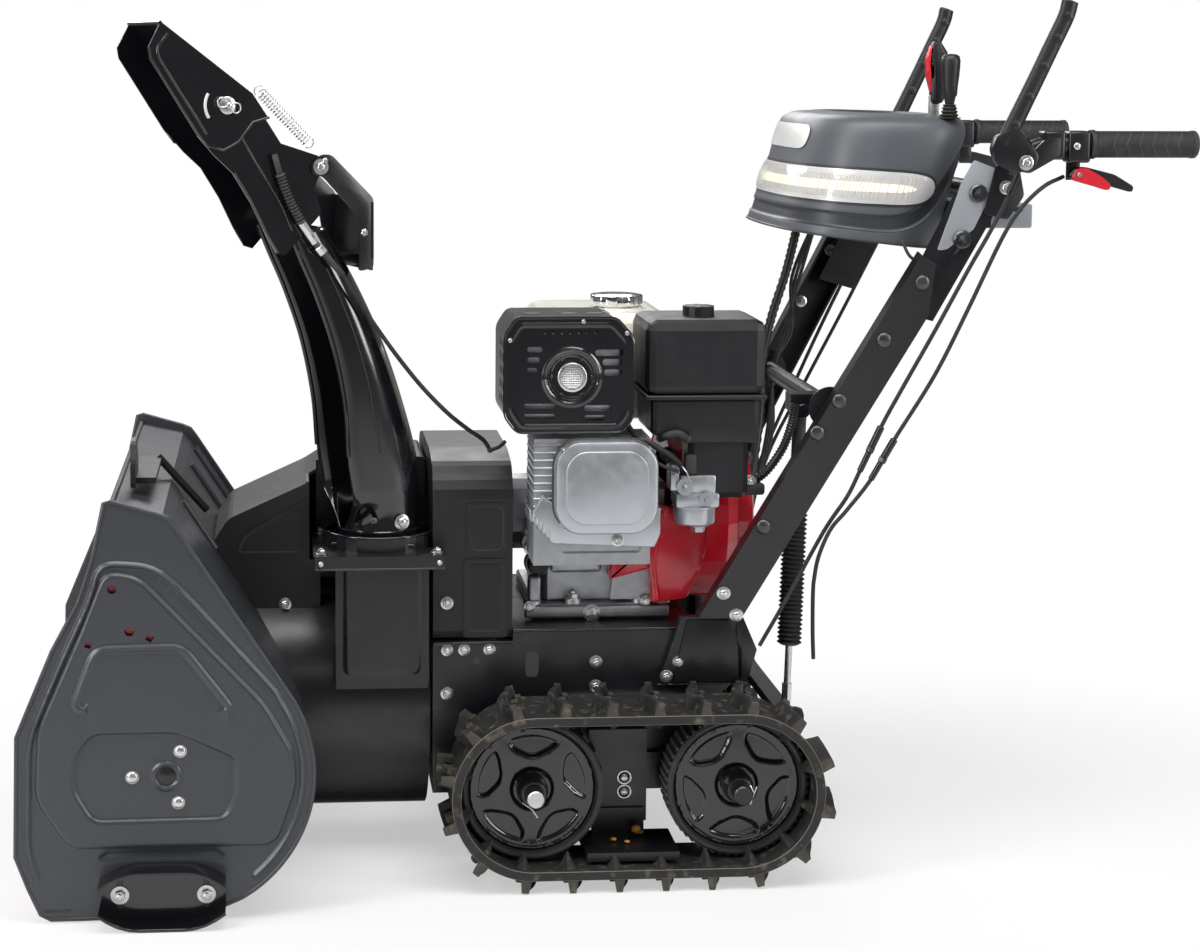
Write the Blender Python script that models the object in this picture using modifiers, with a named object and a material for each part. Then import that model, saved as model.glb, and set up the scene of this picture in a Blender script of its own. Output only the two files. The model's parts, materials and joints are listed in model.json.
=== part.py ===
"""Two stage snowblower on tracks, with a petrol engine.

Metres, +Z up. The auger faces -X, the operator stands at +X, and -Y is the machine's left side.
The origin is on the ground under the middle of the machine. Each sub-part is one named object, and each
moving part hangs on an empty that stands on its joint's axis.
"""

import math

import bmesh
import bpy
from mathutils import Matrix, Vector

# Driving dimensions
GAP = 0.0003                     # between pieces that rest on each other
HOUSING_HALF_WIDTH = 0.380       # outer faces of the auger housing's side plates
PLATE = 0.004                    # side plate thickness
SHEET = 0.0025                   # folded sheet thickness
AUGER_X, AUGER_Z = -0.588, 0.192
HOUSING_RADIUS = 0.190           # round rear edge of the side plates
WRAP_RADIUS = 0.180              # back sheet of the auger housing
SLOPE = math.radians(33)         # where the round edge turns into the straight slope
AUGER_RADIUS = 0.160
SHAFT_RADIUS = 0.014

DRUM_Z, DRUM_RADIUS = 0.210, 0.168
DRUM_BACK = -0.235
IMPELLER_SHAFT_RADIUS = 0.0095
FAN_RADIUS = 0.152

CHUTE_X, CHUTE_Y = -0.304, -0.130
CHUTE_TURN = math.radians(20)    # the chute rests turned a little to the left
CHUTE_RADIUS = 0.055
CHUTE_BASE_Z = 0.4445
CHUTE_HALF_WIDTH = 0.061
DEFLECTOR_HALF_WIDTH = 0.066     # outer faces of the deflectors' side walls
TILT_DX, TILT_Z = -0.1112, 0.968
CAP_DX, CAP_Z = -0.2392, 1.0488

FRAME_HALF = 0.178
FRAME_FRONT, FRAME_REAR = -0.232, 0.132
FRAME_BOTTOM, FRAME_TOP, DECK_Z = 0.100, 0.313, 0.330
DECK_FRONT = -0.1215

DRIVE_X, IDLER_X, AXLE_Z = -0.103, 0.177, 0.130
BELT_OUTER, BELT_INNER = 0.111, 0.101
BELT_INSIDE, BELT_OUTSIDE = 0.203, 0.318
LUG_HEIGHT, LUG_COUNT = 0.019, 20
WHEEL_RADIUS = 0.097
AXLE_RADIUS, AXLE_REACH = 0.0125, 0.3165

ENGINE_Z = 0.462                 # crankshaft height
COLUMN_BOTTOM = Vector((0.160, 0.190, 0.344))
COLUMN_TOP = Vector((0.4245, 0.262, 0.825))
COLUMN_WIDTH, COLUMN_DEPTH = 0.052, 0.028

GRIP_Y, GRIP_Z, GRIP_RADIUS = 0.270, 1.000, 0.018
GRIP_FRONT, GRIP_REAR = 0.636, 0.782
TUBE_RADIUS = 0.0125
LEVER_PIVOT = Vector((0.540, 0.297, 0.977))
TRIGGER_PIVOT = Vector((0.620, 0.266, 0.960))
GEAR_X, GEAR_Y, GEAR_Z = 0.467, -0.115, 0.965
STICK_X, STICK_Y, STICK_Z = 0.476, -0.160, 1.030

STRUT_TOP = Vector((0.279, -0.150, 0.610))
STRUT_BOTTOM = Vector((0.268, -0.150, 0.206))

X_AXIS, Y_AXIS, Z_AXIS = Vector((1, 0, 0)), Vector((0, 1, 0)), Vector((0, 0, 1))
LEFT, RIGHT = -1, 1
SIDES = (("left", LEFT), ("right", RIGHT))


def fresh_scene():
    for obj in list(bpy.data.objects):
        bpy.data.objects.remove(obj, do_unlink=True)


def collection(name):
    made = bpy.data.collections.new(name)
    bpy.context.scene.collection.children.link(made)
    return made


fresh_scene()
PARTS = collection("snowblower")
CUTTERS = collection("cutters")


def material(name, colour, roughness, metallic=0.0):
    made = bpy.data.materials.new(name)
    made.use_nodes = True
    shader = made.node_tree.nodes["Principled BSDF"]
    shader.inputs["Base Color"].default_value = (*colour, 1.0)
    shader.inputs["Roughness"].default_value = roughness
    shader.inputs["Metallic"].default_value = metallic
    return made


HOUSING_PAINT = material("housing_paint", (0.055, 0.058, 0.064), 0.35)
BLACK_PAINT = material("black_paint", (0.012, 0.012, 0.014), 0.28)
RED_PAINT = material("red_paint", (0.60, 0.010, 0.020), 0.30)
BLACK_PLASTIC = material("black_plastic", (0.018, 0.018, 0.020), 0.50)
GREY_PLASTIC = material("grey_plastic", (0.085, 0.090, 0.098), 0.48)
RED_PLASTIC = material("red_plastic", (0.55, 0.012, 0.018), 0.40)
RUBBER = material("rubber", (0.014, 0.014, 0.015), 0.75)
STEEL = material("steel", (0.55, 0.55, 0.56), 0.32, 1.0)
CHROME = material("chrome", (0.80, 0.80, 0.82), 0.12, 1.0)
CAST_ALUMINIUM = material("cast_aluminium", (0.62, 0.63, 0.64), 0.42, 1.0)
TANK_PAINT = material("tank_paint", (0.80, 0.77, 0.66), 0.30)
CLEAR_LENS = material("clear_lens", (0.85, 0.80, 0.70), 0.10)


def place(name, mesh, paint, location=(0, 0, 0), rotation=None):
    obj = bpy.data.objects.new(name, mesh)
    obj.location = location
    if rotation is not None:
        obj.rotation_euler = rotation.to_euler()
    mesh.materials.append(paint)
    PARTS.objects.link(obj)
    return obj


def mesh_from(name, build):
    """A mesh filled by a function that takes a bmesh."""
    work = bmesh.new()
    build(work)
    bmesh.ops.recalc_face_normals(work, faces=work.faces)
    mesh = bpy.data.meshes.new(name)
    work.to_mesh(mesh)
    work.free()
    return mesh


def smooth(obj, angle=35):
    obj.data.shade_smooth()
    obj.data.set_sharp_from_angle(angle=math.radians(angle))
    return obj


def bevelled(obj, width, segments=2, angle=35):
    bevel = obj.modifiers.new("bevel", "BEVEL")
    bevel.width = width
    bevel.segments = segments
    bevel.limit_method = "ANGLE"
    bevel.angle_limit = math.radians(angle)
    return obj


def box(name, low, high, paint, bevel=0.0, segments=1):
    low, high = Vector(low), Vector(high)

    def build(work):
        bmesh.ops.create_cube(work, size=1.0)
        bmesh.ops.scale(work, vec=high - low, verts=work.verts)

    obj = place(name, mesh_from(name, build), paint, (low + high) / 2)
    if bevel:
        bevelled(obj, bevel, segments)
    return obj


def rod(name, start, end, radius, paint, sides=16):
    """A round bar from start to end."""
    start, end = Vector(start), Vector(end)

    def build(work):
        bmesh.ops.create_cone(
            work, cap_ends=True, segments=sides, radius1=radius, radius2=radius, depth=(end - start).length
        )

    turn = (end - start).to_track_quat("Z", "Y")
    return smooth(place(name, mesh_from(name, build), paint, (start + end) / 2, turn))


def turned(name, profile, base, axis, paint, steps=24):
    """A profile of (radius, height) turned about an axis through base."""

    def build(work):
        points = [work.verts.new((radius, 0, height)) for radius, height in profile]
        for a, b in zip(points, points[1:]):
            work.edges.new((a, b))
        if profile[0][0] > 0 and profile[-1][0] > 0:
            work.edges.new((points[-1], points[0]))
        bmesh.ops.spin(
            work, geom=work.verts[:] + work.edges[:], cent=(0, 0, 0), axis=(0, 0, 1),
            angle=math.tau, steps=steps, use_merge=True, use_duplicate=False,
        )
        bmesh.ops.remove_doubles(work, verts=work.verts, dist=0.00001)

    turn = Vector(axis).to_track_quat("Z", "Y")
    return smooth(place(name, mesh_from(name, build), paint, base, turn))


PLANES = {
    "XZ": Matrix(((1, 0, 0), (0, 0, -1), (0, 1, 0))),
    "YZ": Matrix(((0, 0, 1), (1, 0, 0), (0, 1, 0))),
    "XY": Matrix.Identity(3),
}


def as_mesh(obj):
    """The curve object made a mesh, its loose caps welded."""
    bpy.context.view_layer.update()
    evaluated = obj.evaluated_get(bpy.context.evaluated_depsgraph_get())
    mesh = bpy.data.meshes.new_from_object(evaluated)
    work = bmesh.new()
    work.from_mesh(mesh)
    bmesh.ops.remove_doubles(work, verts=work.verts, dist=0.00001)
    bmesh.ops.recalc_face_normals(work, faces=work.faces)
    work.to_mesh(mesh)
    work.free()
    name, matrix = obj.name, obj.matrix_world.copy()
    bpy.data.objects.remove(obj, do_unlink=True)
    made = bpy.data.objects.new(name, mesh)
    made.matrix_world = matrix
    PARTS.objects.link(made)
    return made


def plate(name, outline, plane, low, high, paint, holes=()):
    """A flat outline in a plane, filling from low to high along the plane's normal."""
    curve = bpy.data.curves.new(name, "CURVE")
    curve.dimensions = "2D"
    curve.fill_mode = "BOTH"
    curve.extrude = abs(high - low) / 2
    curve.resolution_u = 1
    curve.render_resolution_u = 0
    for loop in (outline, *holes):
        spline = curve.splines.new("POLY")
        spline.points.add(len(loop) - 1)
        for point, (a, b) in zip(spline.points, loop):
            point.co = (a, b, 0, 1)
        spline.use_cyclic_u = True
    middle = (low + high) / 2
    offset = {"XZ": (0, middle, 0), "YZ": (middle, 0, 0), "XY": (0, 0, middle)}[plane]
    return as_mesh(place(name, curve, paint, offset, PLANES[plane]))


def tube(name, points, radius, paint, resolution=2):
    curve = bpy.data.curves.new(name, "CURVE")
    curve.dimensions = "3D"
    curve.bevel_depth = radius
    curve.bevel_resolution = resolution
    curve.use_fill_caps = True
    curve.resolution_u = 1
    curve.render_resolution_u = 0
    spline = curve.splines.new("POLY")
    spline.points.add(len(points) - 1)
    for point, place_at in zip(spline.points, points):
        point.co = (*place_at, 1)
    return place(name, curve, paint)


def through(points, steps):
    """Points on a smooth curve through the given ones."""
    points = [Vector(point) for point in points]
    ends = [2 * points[0] - points[1], *points, 2 * points[-1] - points[-2]]
    route = []
    for before, start, end, after in zip(ends, ends[1:], ends[2:], ends[3:]):
        for step in range(steps):
            t = step / steps
            route.append(
                0.5 * (2 * start + (end - before) * t + (2 * before - 5 * start + 4 * end - after) * t * t
                       + (3 * start - before - 3 * end + after) * t ** 3)
            )
    return [*route, points[-1]]


def boolean(target, tools, operation):
    for tool in tools:
        modifier = target.modifiers.new(operation.lower(), "BOOLEAN")
        modifier.operation = operation
        modifier.solver = "EXACT"
        modifier.object = tool
        tool.hide_render = True
        tool.display_type = "WIRE"
        tool.name = "tool_" + tool.name
        if tool.name in PARTS.objects:
            PARTS.objects.unlink(tool)
            CUTTERS.objects.link(tool)
    return target


def cut(target, *tools):
    return boolean(target, tools, "DIFFERENCE")


def join(target, *tools):
    return boolean(target, tools, "UNION")


def circle(a, b, radius, count=24, start=0.0, sweep=math.tau):
    """Points round an arc. A full circle doesn't repeat its first point."""
    steps = count if sweep == math.tau else count - 1
    return [
        (a + radius * math.cos(start + sweep * i / steps), b + radius * math.sin(start + sweep * i / steps))
        for i in range(count)
    ]


def rounded(points, radius, steps=3):
    """The outline with its corners cut round."""
    out = []
    count = len(points)
    for i, corner in enumerate(points):
        corner = Vector(corner)
        before, after = Vector(points[i - 1]), Vector(points[(i + 1) % count])
        reach = min(radius, (before - corner).length / 2.2, (after - corner).length / 2.2)
        a = corner + (before - corner).normalized() * reach
        b = corner + (after - corner).normalized() * reach
        for step in range(steps + 1):
            t = step / steps
            out.append(tuple((1 - t) ** 2 * a + 2 * t * (1 - t) * corner + t * t * b))
    return out


def mirrored(points, side):
    return [(point[0], side * point[1], point[2]) for point in points]


def across(side, near, far):
    """The lower and higher Y of a slab between two distances from the middle."""
    return (near, far) if side == RIGHT else (-far, -near)


def moved(obj, matrix):
    bpy.context.view_layer.update()
    obj.matrix_world = matrix @ obj.matrix_world
    return obj


def pivot(name, location, parent=None):
    empty = bpy.data.objects.new(name, None)
    empty.location = location
    PARTS.objects.link(empty)
    if parent is not None:
        carry(parent, empty)
    return empty


def carry(parent, *children):
    """The children hang on the parent and stay where they are."""
    bpy.context.view_layer.update()
    for child in children:
        child.parent = parent
        child.matrix_parent_inverse = parent.matrix_world.inverted()
    return parent


# ---------------------------------------------------------------- auger housing


def wrap_path(offset=0.0):
    """The back sheet's profile in X and Z, from under the auger to the top's front edge."""
    radius = WRAP_RADIUS + offset
    path = circle(AUGER_X, AUGER_Z, radius, 16, math.radians(-96), math.radians(129))
    run = Vector((-math.sin(SLOPE), math.cos(SLOPE)))
    shoulder = Vector(path[-1]) + 0.262 * run
    path.append(tuple(shoulder))
    path.append((shoulder.x - 0.012, shoulder.y + 0.014))
    path.append((-0.657, 0.5385 + offset))
    return path


def housing_volume(name, offset):
    """The solid inside the back sheet, used to trim what is fixed behind it."""
    outline = [*wrap_path(offset), (-0.780, 0.500), (-0.780, 0.000)]
    return plate(name, outline, "XZ", -0.42, 0.42, HOUSING_PAINT)


def make_auger_housing():
    path = wrap_path()

    def build(work):
        rows = [
            [work.verts.new((x, y, z)) for x, z in path]
            for y in (-HOUSING_HALF_WIDTH + PLATE + GAP, HOUSING_HALF_WIDTH - PLATE - GAP)
        ]
        for i in range(len(path) - 1):
            work.faces.new((rows[0][i], rows[0][i + 1], rows[1][i + 1], rows[1][i]))

    mesh = bpy.data.meshes.new("auger_housing")
    work = bmesh.new()
    build(work)
    work.to_mesh(mesh)
    work.free()
    housing = place("auger_housing", mesh, HOUSING_PAINT)
    shell = housing.modifiers.new("sheet", "SOLIDIFY")
    shell.thickness = SHEET
    shell.offset = 1.0
    mouth = rod("drum_mouth", (-0.55, 0, DRUM_Z), (-0.38, 0, DRUM_Z), DRUM_RADIUS - 0.0035, HOUSING_PAINT, 32)
    return cut(housing, mouth)


def side_plate_outline():
    arc = circle(AUGER_X, AUGER_Z, HOUSING_RADIUS, 15, math.radians(-60), math.radians(60) + SLOPE)
    return [
        (-0.700, 0.004), (-0.560, 0.007), (-0.520, 0.016), *arc,
        (-0.573, 0.517), (-0.581, 0.528), (-0.592, 0.533),
        (-0.655, 0.551), (-0.663, 0.549), (-0.679, 0.475), (-0.697, 0.421), (-0.731, 0.358),
        (-0.765, 0.277), (-0.778, 0.246), (-0.782, 0.088), (-0.766, 0.045), (-0.751, 0.011), (-0.738, 0.004),
    ]


def make_side_plate(name, side):
    low, high = across(side, HOUSING_HALF_WIDTH - PLATE, HOUSING_HALF_WIDTH)
    hole = circle(AUGER_X, AUGER_Z, SHAFT_RADIUS + GAP * 3, 20)
    return plate(name, side_plate_outline(), "XZ", low, high, HOUSING_PAINT, (hole,))


SKID_LOW_X, SKID_HIGH_X = -0.675, -0.513


def skid_outline(inset):
    """The skid's outline, its long edges bowed and rising at the ends."""
    points = []
    middle = (SKID_LOW_X + SKID_HIGH_X) / 2
    half = (SKID_HIGH_X - SKID_LOW_X) / 2 - (inset and 0.0002)
    for edge, sign in ((0.0, 1), (0.078, -1)):
        row = []
        for t in (-1, -0.85, -0.7, -0.52, -0.35, 0.35, 0.52, 0.7, 0.85, 1):
            rise = 0.020 * max(0.0, (abs(t) - 0.35) / 0.65) ** 2
            row.append((middle + half * t, edge + sign * (rise + inset)))
        points += row if sign > 0 else row[::-1]
    return points


def make_skid_shoe(name, side):
    low, high = across(side, HOUSING_HALF_WIDTH + GAP, 0.424)
    shoe = plate(name, skid_outline(0.0), "XZ", low, high, BLACK_PAINT)
    inner_low, inner_high = across(side, HOUSING_HALF_WIDTH + 0.004, 0.430)
    hollow = plate(name + "_hollow", skid_outline(0.0035), "XZ", inner_low, inner_high, BLACK_PAINT)
    sides = box(
        name + "_ends", (SKID_LOW_X - 0.01, inner_low, 0.024), (SKID_HIGH_X + 0.01, inner_high, 0.054),
        BLACK_PAINT,
    )
    return cut(shoe, hollow, sides)


def make_scraper_blade():
    half = HOUSING_HALF_WIDTH - PLATE - 0.004
    return box("scraper_blade", (-0.668, -half, 0.0035), (-0.598, half, 0.0095), BLACK_PAINT)


def make_impeller_housing():
    drum = rod("impeller_housing", (-0.505, 0, DRUM_Z), (DRUM_BACK, 0, DRUM_Z), DRUM_RADIUS, BLACK_PAINT, 32)
    duct = box("duct", (-0.365, -0.200, 0.255), (-0.240, -0.060, 0.4395), BLACK_PAINT)
    inside = rod(
        "drum_inside", (-0.51, 0, DRUM_Z), (DRUM_BACK - SHEET, 0, DRUM_Z), DRUM_RADIUS - SHEET, BLACK_PAINT,
        32,
    )
    duct_inside = box("duct_inside", (-0.3625, -0.1975, 0.258), (-0.2425, -0.0625, 0.45), BLACK_PAINT)
    bore = rod("drum_bore", (-0.26, 0, DRUM_Z), (-0.22, 0, DRUM_Z), IMPELLER_SHAFT_RADIUS + 0.001, STEEL, 20)
    join(drum, duct)
    return cut(drum, inside, duct_inside, bore, housing_volume("drum_trim", GAP * 2))


def make_chute_flange():
    outline = [
        (-0.396, -0.222), (-0.216, -0.222), (-0.216, -0.175), (-0.2345, -0.170), (-0.2345, -0.040),
        (-0.372, -0.040), (-0.396, -0.060),
    ]
    flange = plate(
        "chute_flange", rounded(outline, 0.008), "XY", 0.4400, 0.4440, BLACK_PAINT,
        (circle(CHUTE_X, CHUTE_Y, 0.050, 28),),
    )
    lip = box("flange_lip", (-0.394, -0.2235, 0.4250), (-0.218, -0.2205, 0.4435), BLACK_PAINT)
    wall = turned(
        "flange_wall", [(0.0735, 0.442), (0.0760, 0.442), (0.0760, 0.464), (0.0735, 0.464)],
        (CHUTE_X, CHUTE_Y, 0), Z_AXIS, BLACK_PAINT, 28,
    )
    notch = box("flange_notch", (-0.2335, -0.172, 0.40), (-0.20, -0.02, 0.48), BLACK_PAINT)
    join(flange, lip, wall)
    return cut(flange, notch)


# ---------------------------------------------------------------- auger and impeller


def make_auger_gearbox():
    gearbox = rod("auger_gearbox", (AUGER_X, -0.040, AUGER_Z), (AUGER_X, 0.040, AUGER_Z), 0.046, BLACK_PAINT)
    neck = rod("gearbox_neck", (AUGER_X, 0, DRUM_Z), (-0.500, 0, DRUM_Z), 0.026, BLACK_PAINT)
    shaft_bore = rod(
        "gearbox_bore", (AUGER_X, -0.06, AUGER_Z), (AUGER_X, 0.06, AUGER_Z), SHAFT_RADIUS + GAP, STEEL
    )
    drive_bore = rod(
        "drive_bore", (-0.554, 0, DRUM_Z), (-0.48, 0, DRUM_Z), IMPELLER_SHAFT_RADIUS + GAP, STEEL
    )
    join(gearbox, neck)
    return cut(gearbox, shaft_bore, drive_bore)


FLIGHT_START, FLIGHT_END = 0.070, 0.352
FLIGHT_TURNS = 1.25


def flight_ribbon(name, side):
    """A helical band: outwards from the gearbox, wound so that it feeds the middle."""
    steps = 22
    inner, half = 0.118, 0.003
    corners = ((inner, -half), (AUGER_RADIUS, -half), (AUGER_RADIUS, half), (inner, half))

    def build(work):
        rows = []
        for i in range(steps + 1):
            t = i / steps
            angle = side * math.tau * FLIGHT_TURNS * t
            y = side * (FLIGHT_START + (FLIGHT_END - FLIGHT_START) * t)
            ray = Vector((math.cos(angle), 0, math.sin(angle)))
            rows.append([
                work.verts.new(ray * radius + Vector((0, y + shift, 0))) for radius, shift in corners
            ])
        for row, following in zip(rows, rows[1:]):
            for i in range(4):
                j = (i + 1) % 4
                work.faces.new((row[i], row[j], following[j], following[i]))
        work.faces.new(rows[0])
        work.faces.new(rows[-1][::-1])

    return place(name, mesh_from(name, build), RED_PAINT, (AUGER_X, 0, AUGER_Z))


def make_auger_flight(name, side):
    ribbon = flight_ribbon(name, side)
    sleeve = rod(
        name + "_sleeve", (AUGER_X, side * 0.052, AUGER_Z), (AUGER_X, side * 0.358, AUGER_Z), 0.021, RED_PAINT
    )
    bore = rod(
        name + "_bore", (AUGER_X, side * 0.04, AUGER_Z), (AUGER_X, side * 0.37, AUGER_Z), SHAFT_RADIUS + GAP,
        STEEL,
    )
    arms = []
    for t in (0.06, 0.37, 0.68, 0.94):
        angle = side * math.tau * FLIGHT_TURNS * t
        y = side * (FLIGHT_START + (FLIGHT_END - FLIGHT_START) * t)
        ray = Vector((math.cos(angle), 0, math.sin(angle)))
        base = Vector((AUGER_X, y, AUGER_Z))
        arms.append(rod(name + "_arm", base + ray * 0.016, base + ray * 0.130, 0.0065, RED_PAINT, 6))
    join(ribbon, sleeve, *arms)
    return cut(ribbon, bore)


def make_auger():
    shaft = rod("auger_shaft", (AUGER_X, -0.377, AUGER_Z), (AUGER_X, 0.377, AUGER_Z), SHAFT_RADIUS, STEEL)
    flights = [make_auger_flight("auger_flight_" + name, side) for name, side in SIDES]
    carry(pivot("auger_axis", (AUGER_X, 0, AUGER_Z)), shaft, *flights)


def make_impeller():
    shaft = rod("impeller", (-0.552, 0, DRUM_Z), (-0.186, 0, DRUM_Z), IMPELLER_SHAFT_RADIUS, RED_PAINT)
    hub = rod("fan_hub", (-0.372, 0, DRUM_Z), (-0.268, 0, DRUM_Z), 0.030, RED_PAINT)
    blades = []
    for i in range(4):
        blade = box("fan_blade", (-0.052, 0.020, -0.003), (0.052, FAN_RADIUS, 0.003), RED_PAINT)
        spin = Matrix.Rotation(math.radians(45 + 90 * i), 4, "X")
        centre = Vector((0, (0.020 + FAN_RADIUS) / 2, 0))
        blade.matrix_world = Matrix.Translation((-0.318, 0, DRUM_Z)) @ spin @ Matrix.Translation(centre)
        blades.append(blade)
    pulley = turned(
        "fan_pulley",
        [(0.0, -0.012), (0.085, -0.012), (0.070, -0.002), (0.070, 0.002), (0.085, 0.012), (0.0, 0.012)],
        (-0.212, 0, DRUM_Z), X_AXIS, RED_PAINT, 20,
    )
    join(shaft, hub, *blades, pulley)
    carry(pivot("impeller_axis", (DRUM_BACK, 0, DRUM_Z)), shaft)


# ---------------------------------------------------------------- chute and deflectors


def on_chute(dx, dy, z):
    """A point given along, across and above the chute's base, in world space."""
    return Vector((
        CHUTE_X + dx * math.cos(CHUTE_TURN) - dy * math.sin(CHUTE_TURN),
        CHUTE_Y + dx * math.sin(CHUTE_TURN) + dy * math.cos(CHUTE_TURN),
        z,
    ))


CHUTE_FRAME = Matrix.Translation((CHUTE_X, CHUTE_Y, 0)) @ Matrix.Rotation(CHUTE_TURN, 4, "Z")

# Height, front edge, back and half width of the chute's open channel, level by level
CHUTE_LEVELS = (
    (0.4475, -0.055, 0.055, 0.055), (0.4710, -0.055, 0.055, 0.055), (0.500, -0.058, 0.054, 0.056),
    (0.565, -0.068, 0.050, 0.058), (0.645, -0.074, 0.028, 0.060), (0.725, -0.090, -0.001, 0.061),
    (0.795, -0.114, -0.034, 0.061), (0.850, -0.138, -0.065, 0.061), (0.885, -0.152, -0.088, 0.061),
)


def turn_with_chute(obj):
    return moved(obj, CHUTE_FRAME)


def chute_channel():
    arc_steps = 6

    def build(work):
        rows = []
        for z, front, back, half in CHUTE_LEVELS:
            radius = min(half, (back - front) * 0.55)
            section = [(front, -half), ((front + back - radius) / 2, -half)]
            for i in range(arc_steps + 1):
                angle = -math.pi / 2 + math.pi * i / arc_steps
                section.append((back - radius + radius * math.cos(angle), half * math.sin(angle)))
            section += [((front + back - radius) / 2, half), (front, half)]
            if z < 0.48:
                section = circle(0, 0, CHUTE_RADIUS, len(section), math.radians(-172), math.radians(344))
            rows.append([work.verts.new((x, y, z)) for x, y in section])
        for row, above in zip(rows, rows[1:]):
            for i in range(len(row) - 1):
                work.faces.new((row[i], row[i + 1], above[i + 1], above[i]))

    channel = place("chute", mesh_from("chute", build), BLACK_PAINT)
    shell = channel.modifiers.new("sheet", "SOLIDIFY")
    shell.thickness = SHEET
    shell.offset = 0.0
    return smooth(channel)


def make_chute():
    chute = turn_with_chute(chute_channel())
    base = turned(
        "chute_base", [(0.0525, 0.4448), (0.0705, 0.4448), (0.0705, 0.4490), (0.0585, 0.4490),
                       (0.0585, 0.470), (0.0525, 0.470)],
        (CHUTE_X, CHUTE_Y, 0), Z_AXIS, BLACK_PAINT, 24,
    )
    bracket_outline = [
        (-0.058, 0.828), (-0.036, 0.832), (-0.036, 0.925), (-0.096, 0.984), (-0.112, 0.984), (-0.125, 0.970),
        (-0.123, 0.958), (-0.108, 0.955), (-0.062, 0.905), (-0.056, 0.870),
    ]
    inner, outer = DEFLECTOR_HALF_WIDTH + 0.0010, DEFLECTOR_HALF_WIDTH + 0.0040
    arms = [
        turn_with_chute(plate("bracket_arm", bracket_outline, "XZ", *across(side, inner, outer), BLACK_PAINT))
        for side in (LEFT, RIGHT)
    ]
    strap = turn_with_chute(
        box("bracket_strap", (-0.0395, -outer + 0.001, 0.829), (-0.0365, outer - 0.001, 0.924), BLACK_PAINT)
    )
    block = turn_with_chute(
        box("bracket_block", (-0.078, -0.030, 0.834), (-0.038, 0.030, 0.848), BLACK_PAINT)
    )
    pins = [
        turn_with_chute(rod(
            "tilt_pin", (TILT_DX, side * (DEFLECTOR_HALF_WIDTH - 0.006), TILT_Z),
            (TILT_DX, side * (outer + 0.002), TILT_Z), 0.004, STEEL, 12,
        ))
        for side in (LEFT, RIGHT)
    ]
    join(chute, base, *arms, strap, block, *pins)
    return chute


def channel_part(name, side_outline, back_outline, half, paint):
    """A U of two side walls and a back wall."""
    wall = 0.0028
    walls = [
        plate(piece, side_outline, "XZ", *across(side, half - wall, half), paint)
        for piece, side in ((name, LEFT), (name + "_wall", RIGHT))
    ]
    back = plate(name + "_back", back_outline, "XZ", -half + 0.001, half - 0.001, paint)
    for piece in (*walls, back):
        turn_with_chute(piece)
    return join(walls[0], back, walls[1])


def pivot_hole(name, dx, z, radius):
    reach = DEFLECTOR_HALF_WIDTH + 0.02
    return turn_with_chute(rod(name, (dx, -reach, z), (dx, reach, z), radius, STEEL, 16))


def make_deflector_lower():
    side = [
        (-0.279, 1.010), (-0.256, 0.984), (-0.232, 0.962), (-0.207, 0.922), (-0.187, 0.881), (-0.172, 0.856),
        (-0.160, 0.852), (-0.1085, 0.907), (-0.119, 0.940), (-0.112, 0.955), (-0.100, 0.960), (-0.099, 0.974),
        (-0.109, 0.981), (-0.165, 0.999), (-0.192, 1.040), (-0.214, 1.062), (-0.240, 1.067), (-0.262, 1.050),
    ]
    back = [
        (-0.1110, 0.909), (-0.1200, 0.925), (-0.1680, 0.999), (-0.1930, 1.037), (-0.1955, 1.035),
        (-0.1710, 0.997), (-0.1230, 0.923), (-0.1140, 0.907),
    ]
    lower = channel_part("deflector_lower", side, back, DEFLECTOR_HALF_WIDTH, BLACK_PAINT)
    pins = [
        turn_with_chute(rod(
            "cap_pin", (CAP_DX, s * (DEFLECTOR_HALF_WIDTH - 0.002), CAP_Z),
            (CAP_DX, s * (DEFLECTOR_HALF_WIDTH + 0.009), CAP_Z), 0.004, STEEL, 16,
        ))
        for s in (LEFT, RIGHT)
    ]
    join(lower, *pins)
    return cut(lower, pivot_hole("lower_hole", TILT_DX, TILT_Z, 0.0045))


def make_deflector_upper():
    side = [
        (-0.327, 1.155), (-0.344, 1.122), (-0.342, 1.108), (-0.282, 1.014), (-0.268, 0.996), (-0.246, 0.990),
        (-0.226, 1.000), (-0.205, 1.026), (-0.183, 1.032), (-0.205, 1.064),
    ]
    back = [(-0.3265, 1.1530), (-0.2065, 1.0640), (-0.2083, 1.0616), (-0.3283, 1.1506)]
    half = DEFLECTOR_HALF_WIDTH + 0.0038
    upper = channel_part("deflector_upper", side, back, half, BLACK_PAINT)
    return cut(upper, pivot_hole("upper_hole", CAP_DX, CAP_Z, 0.0045))


SPRING_TOP, SPRING_BOTTOM = (-0.1940, 1.0712), (-0.1180, 0.9955)


def make_deflector_spring():
    """The return spring's outer shape; its coils stand proud of the cap's back."""
    y = -DEFLECTOR_HALF_WIDTH + 0.012
    top = on_chute(SPRING_TOP[0], y, SPRING_TOP[1])
    bottom = on_chute(SPRING_BOTTOM[0], y, SPRING_BOTTOM[1])
    return rod("deflector_spring", top, bottom, 0.0085, STEEL, 12)


DEFLECTOR_CABLE = [
    (-0.445, -0.263, 0.985), (-0.438, -0.260, 0.960), (-0.426, -0.255, 0.927), (-0.410, -0.248, 0.895),
    (-0.392, -0.243, 0.868), (-0.374, -0.238, 0.845), (-0.356, -0.231, 0.825), (-0.337, -0.219, 0.794),
    (-0.313, -0.206, 0.756), (-0.282, -0.198, 0.712), (-0.248, -0.190, 0.669), (-0.213, -0.180, 0.632),
    (-0.184, -0.165, 0.607), (-0.162, -0.150, 0.590), (-0.150, -0.142, 0.572),
]


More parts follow.
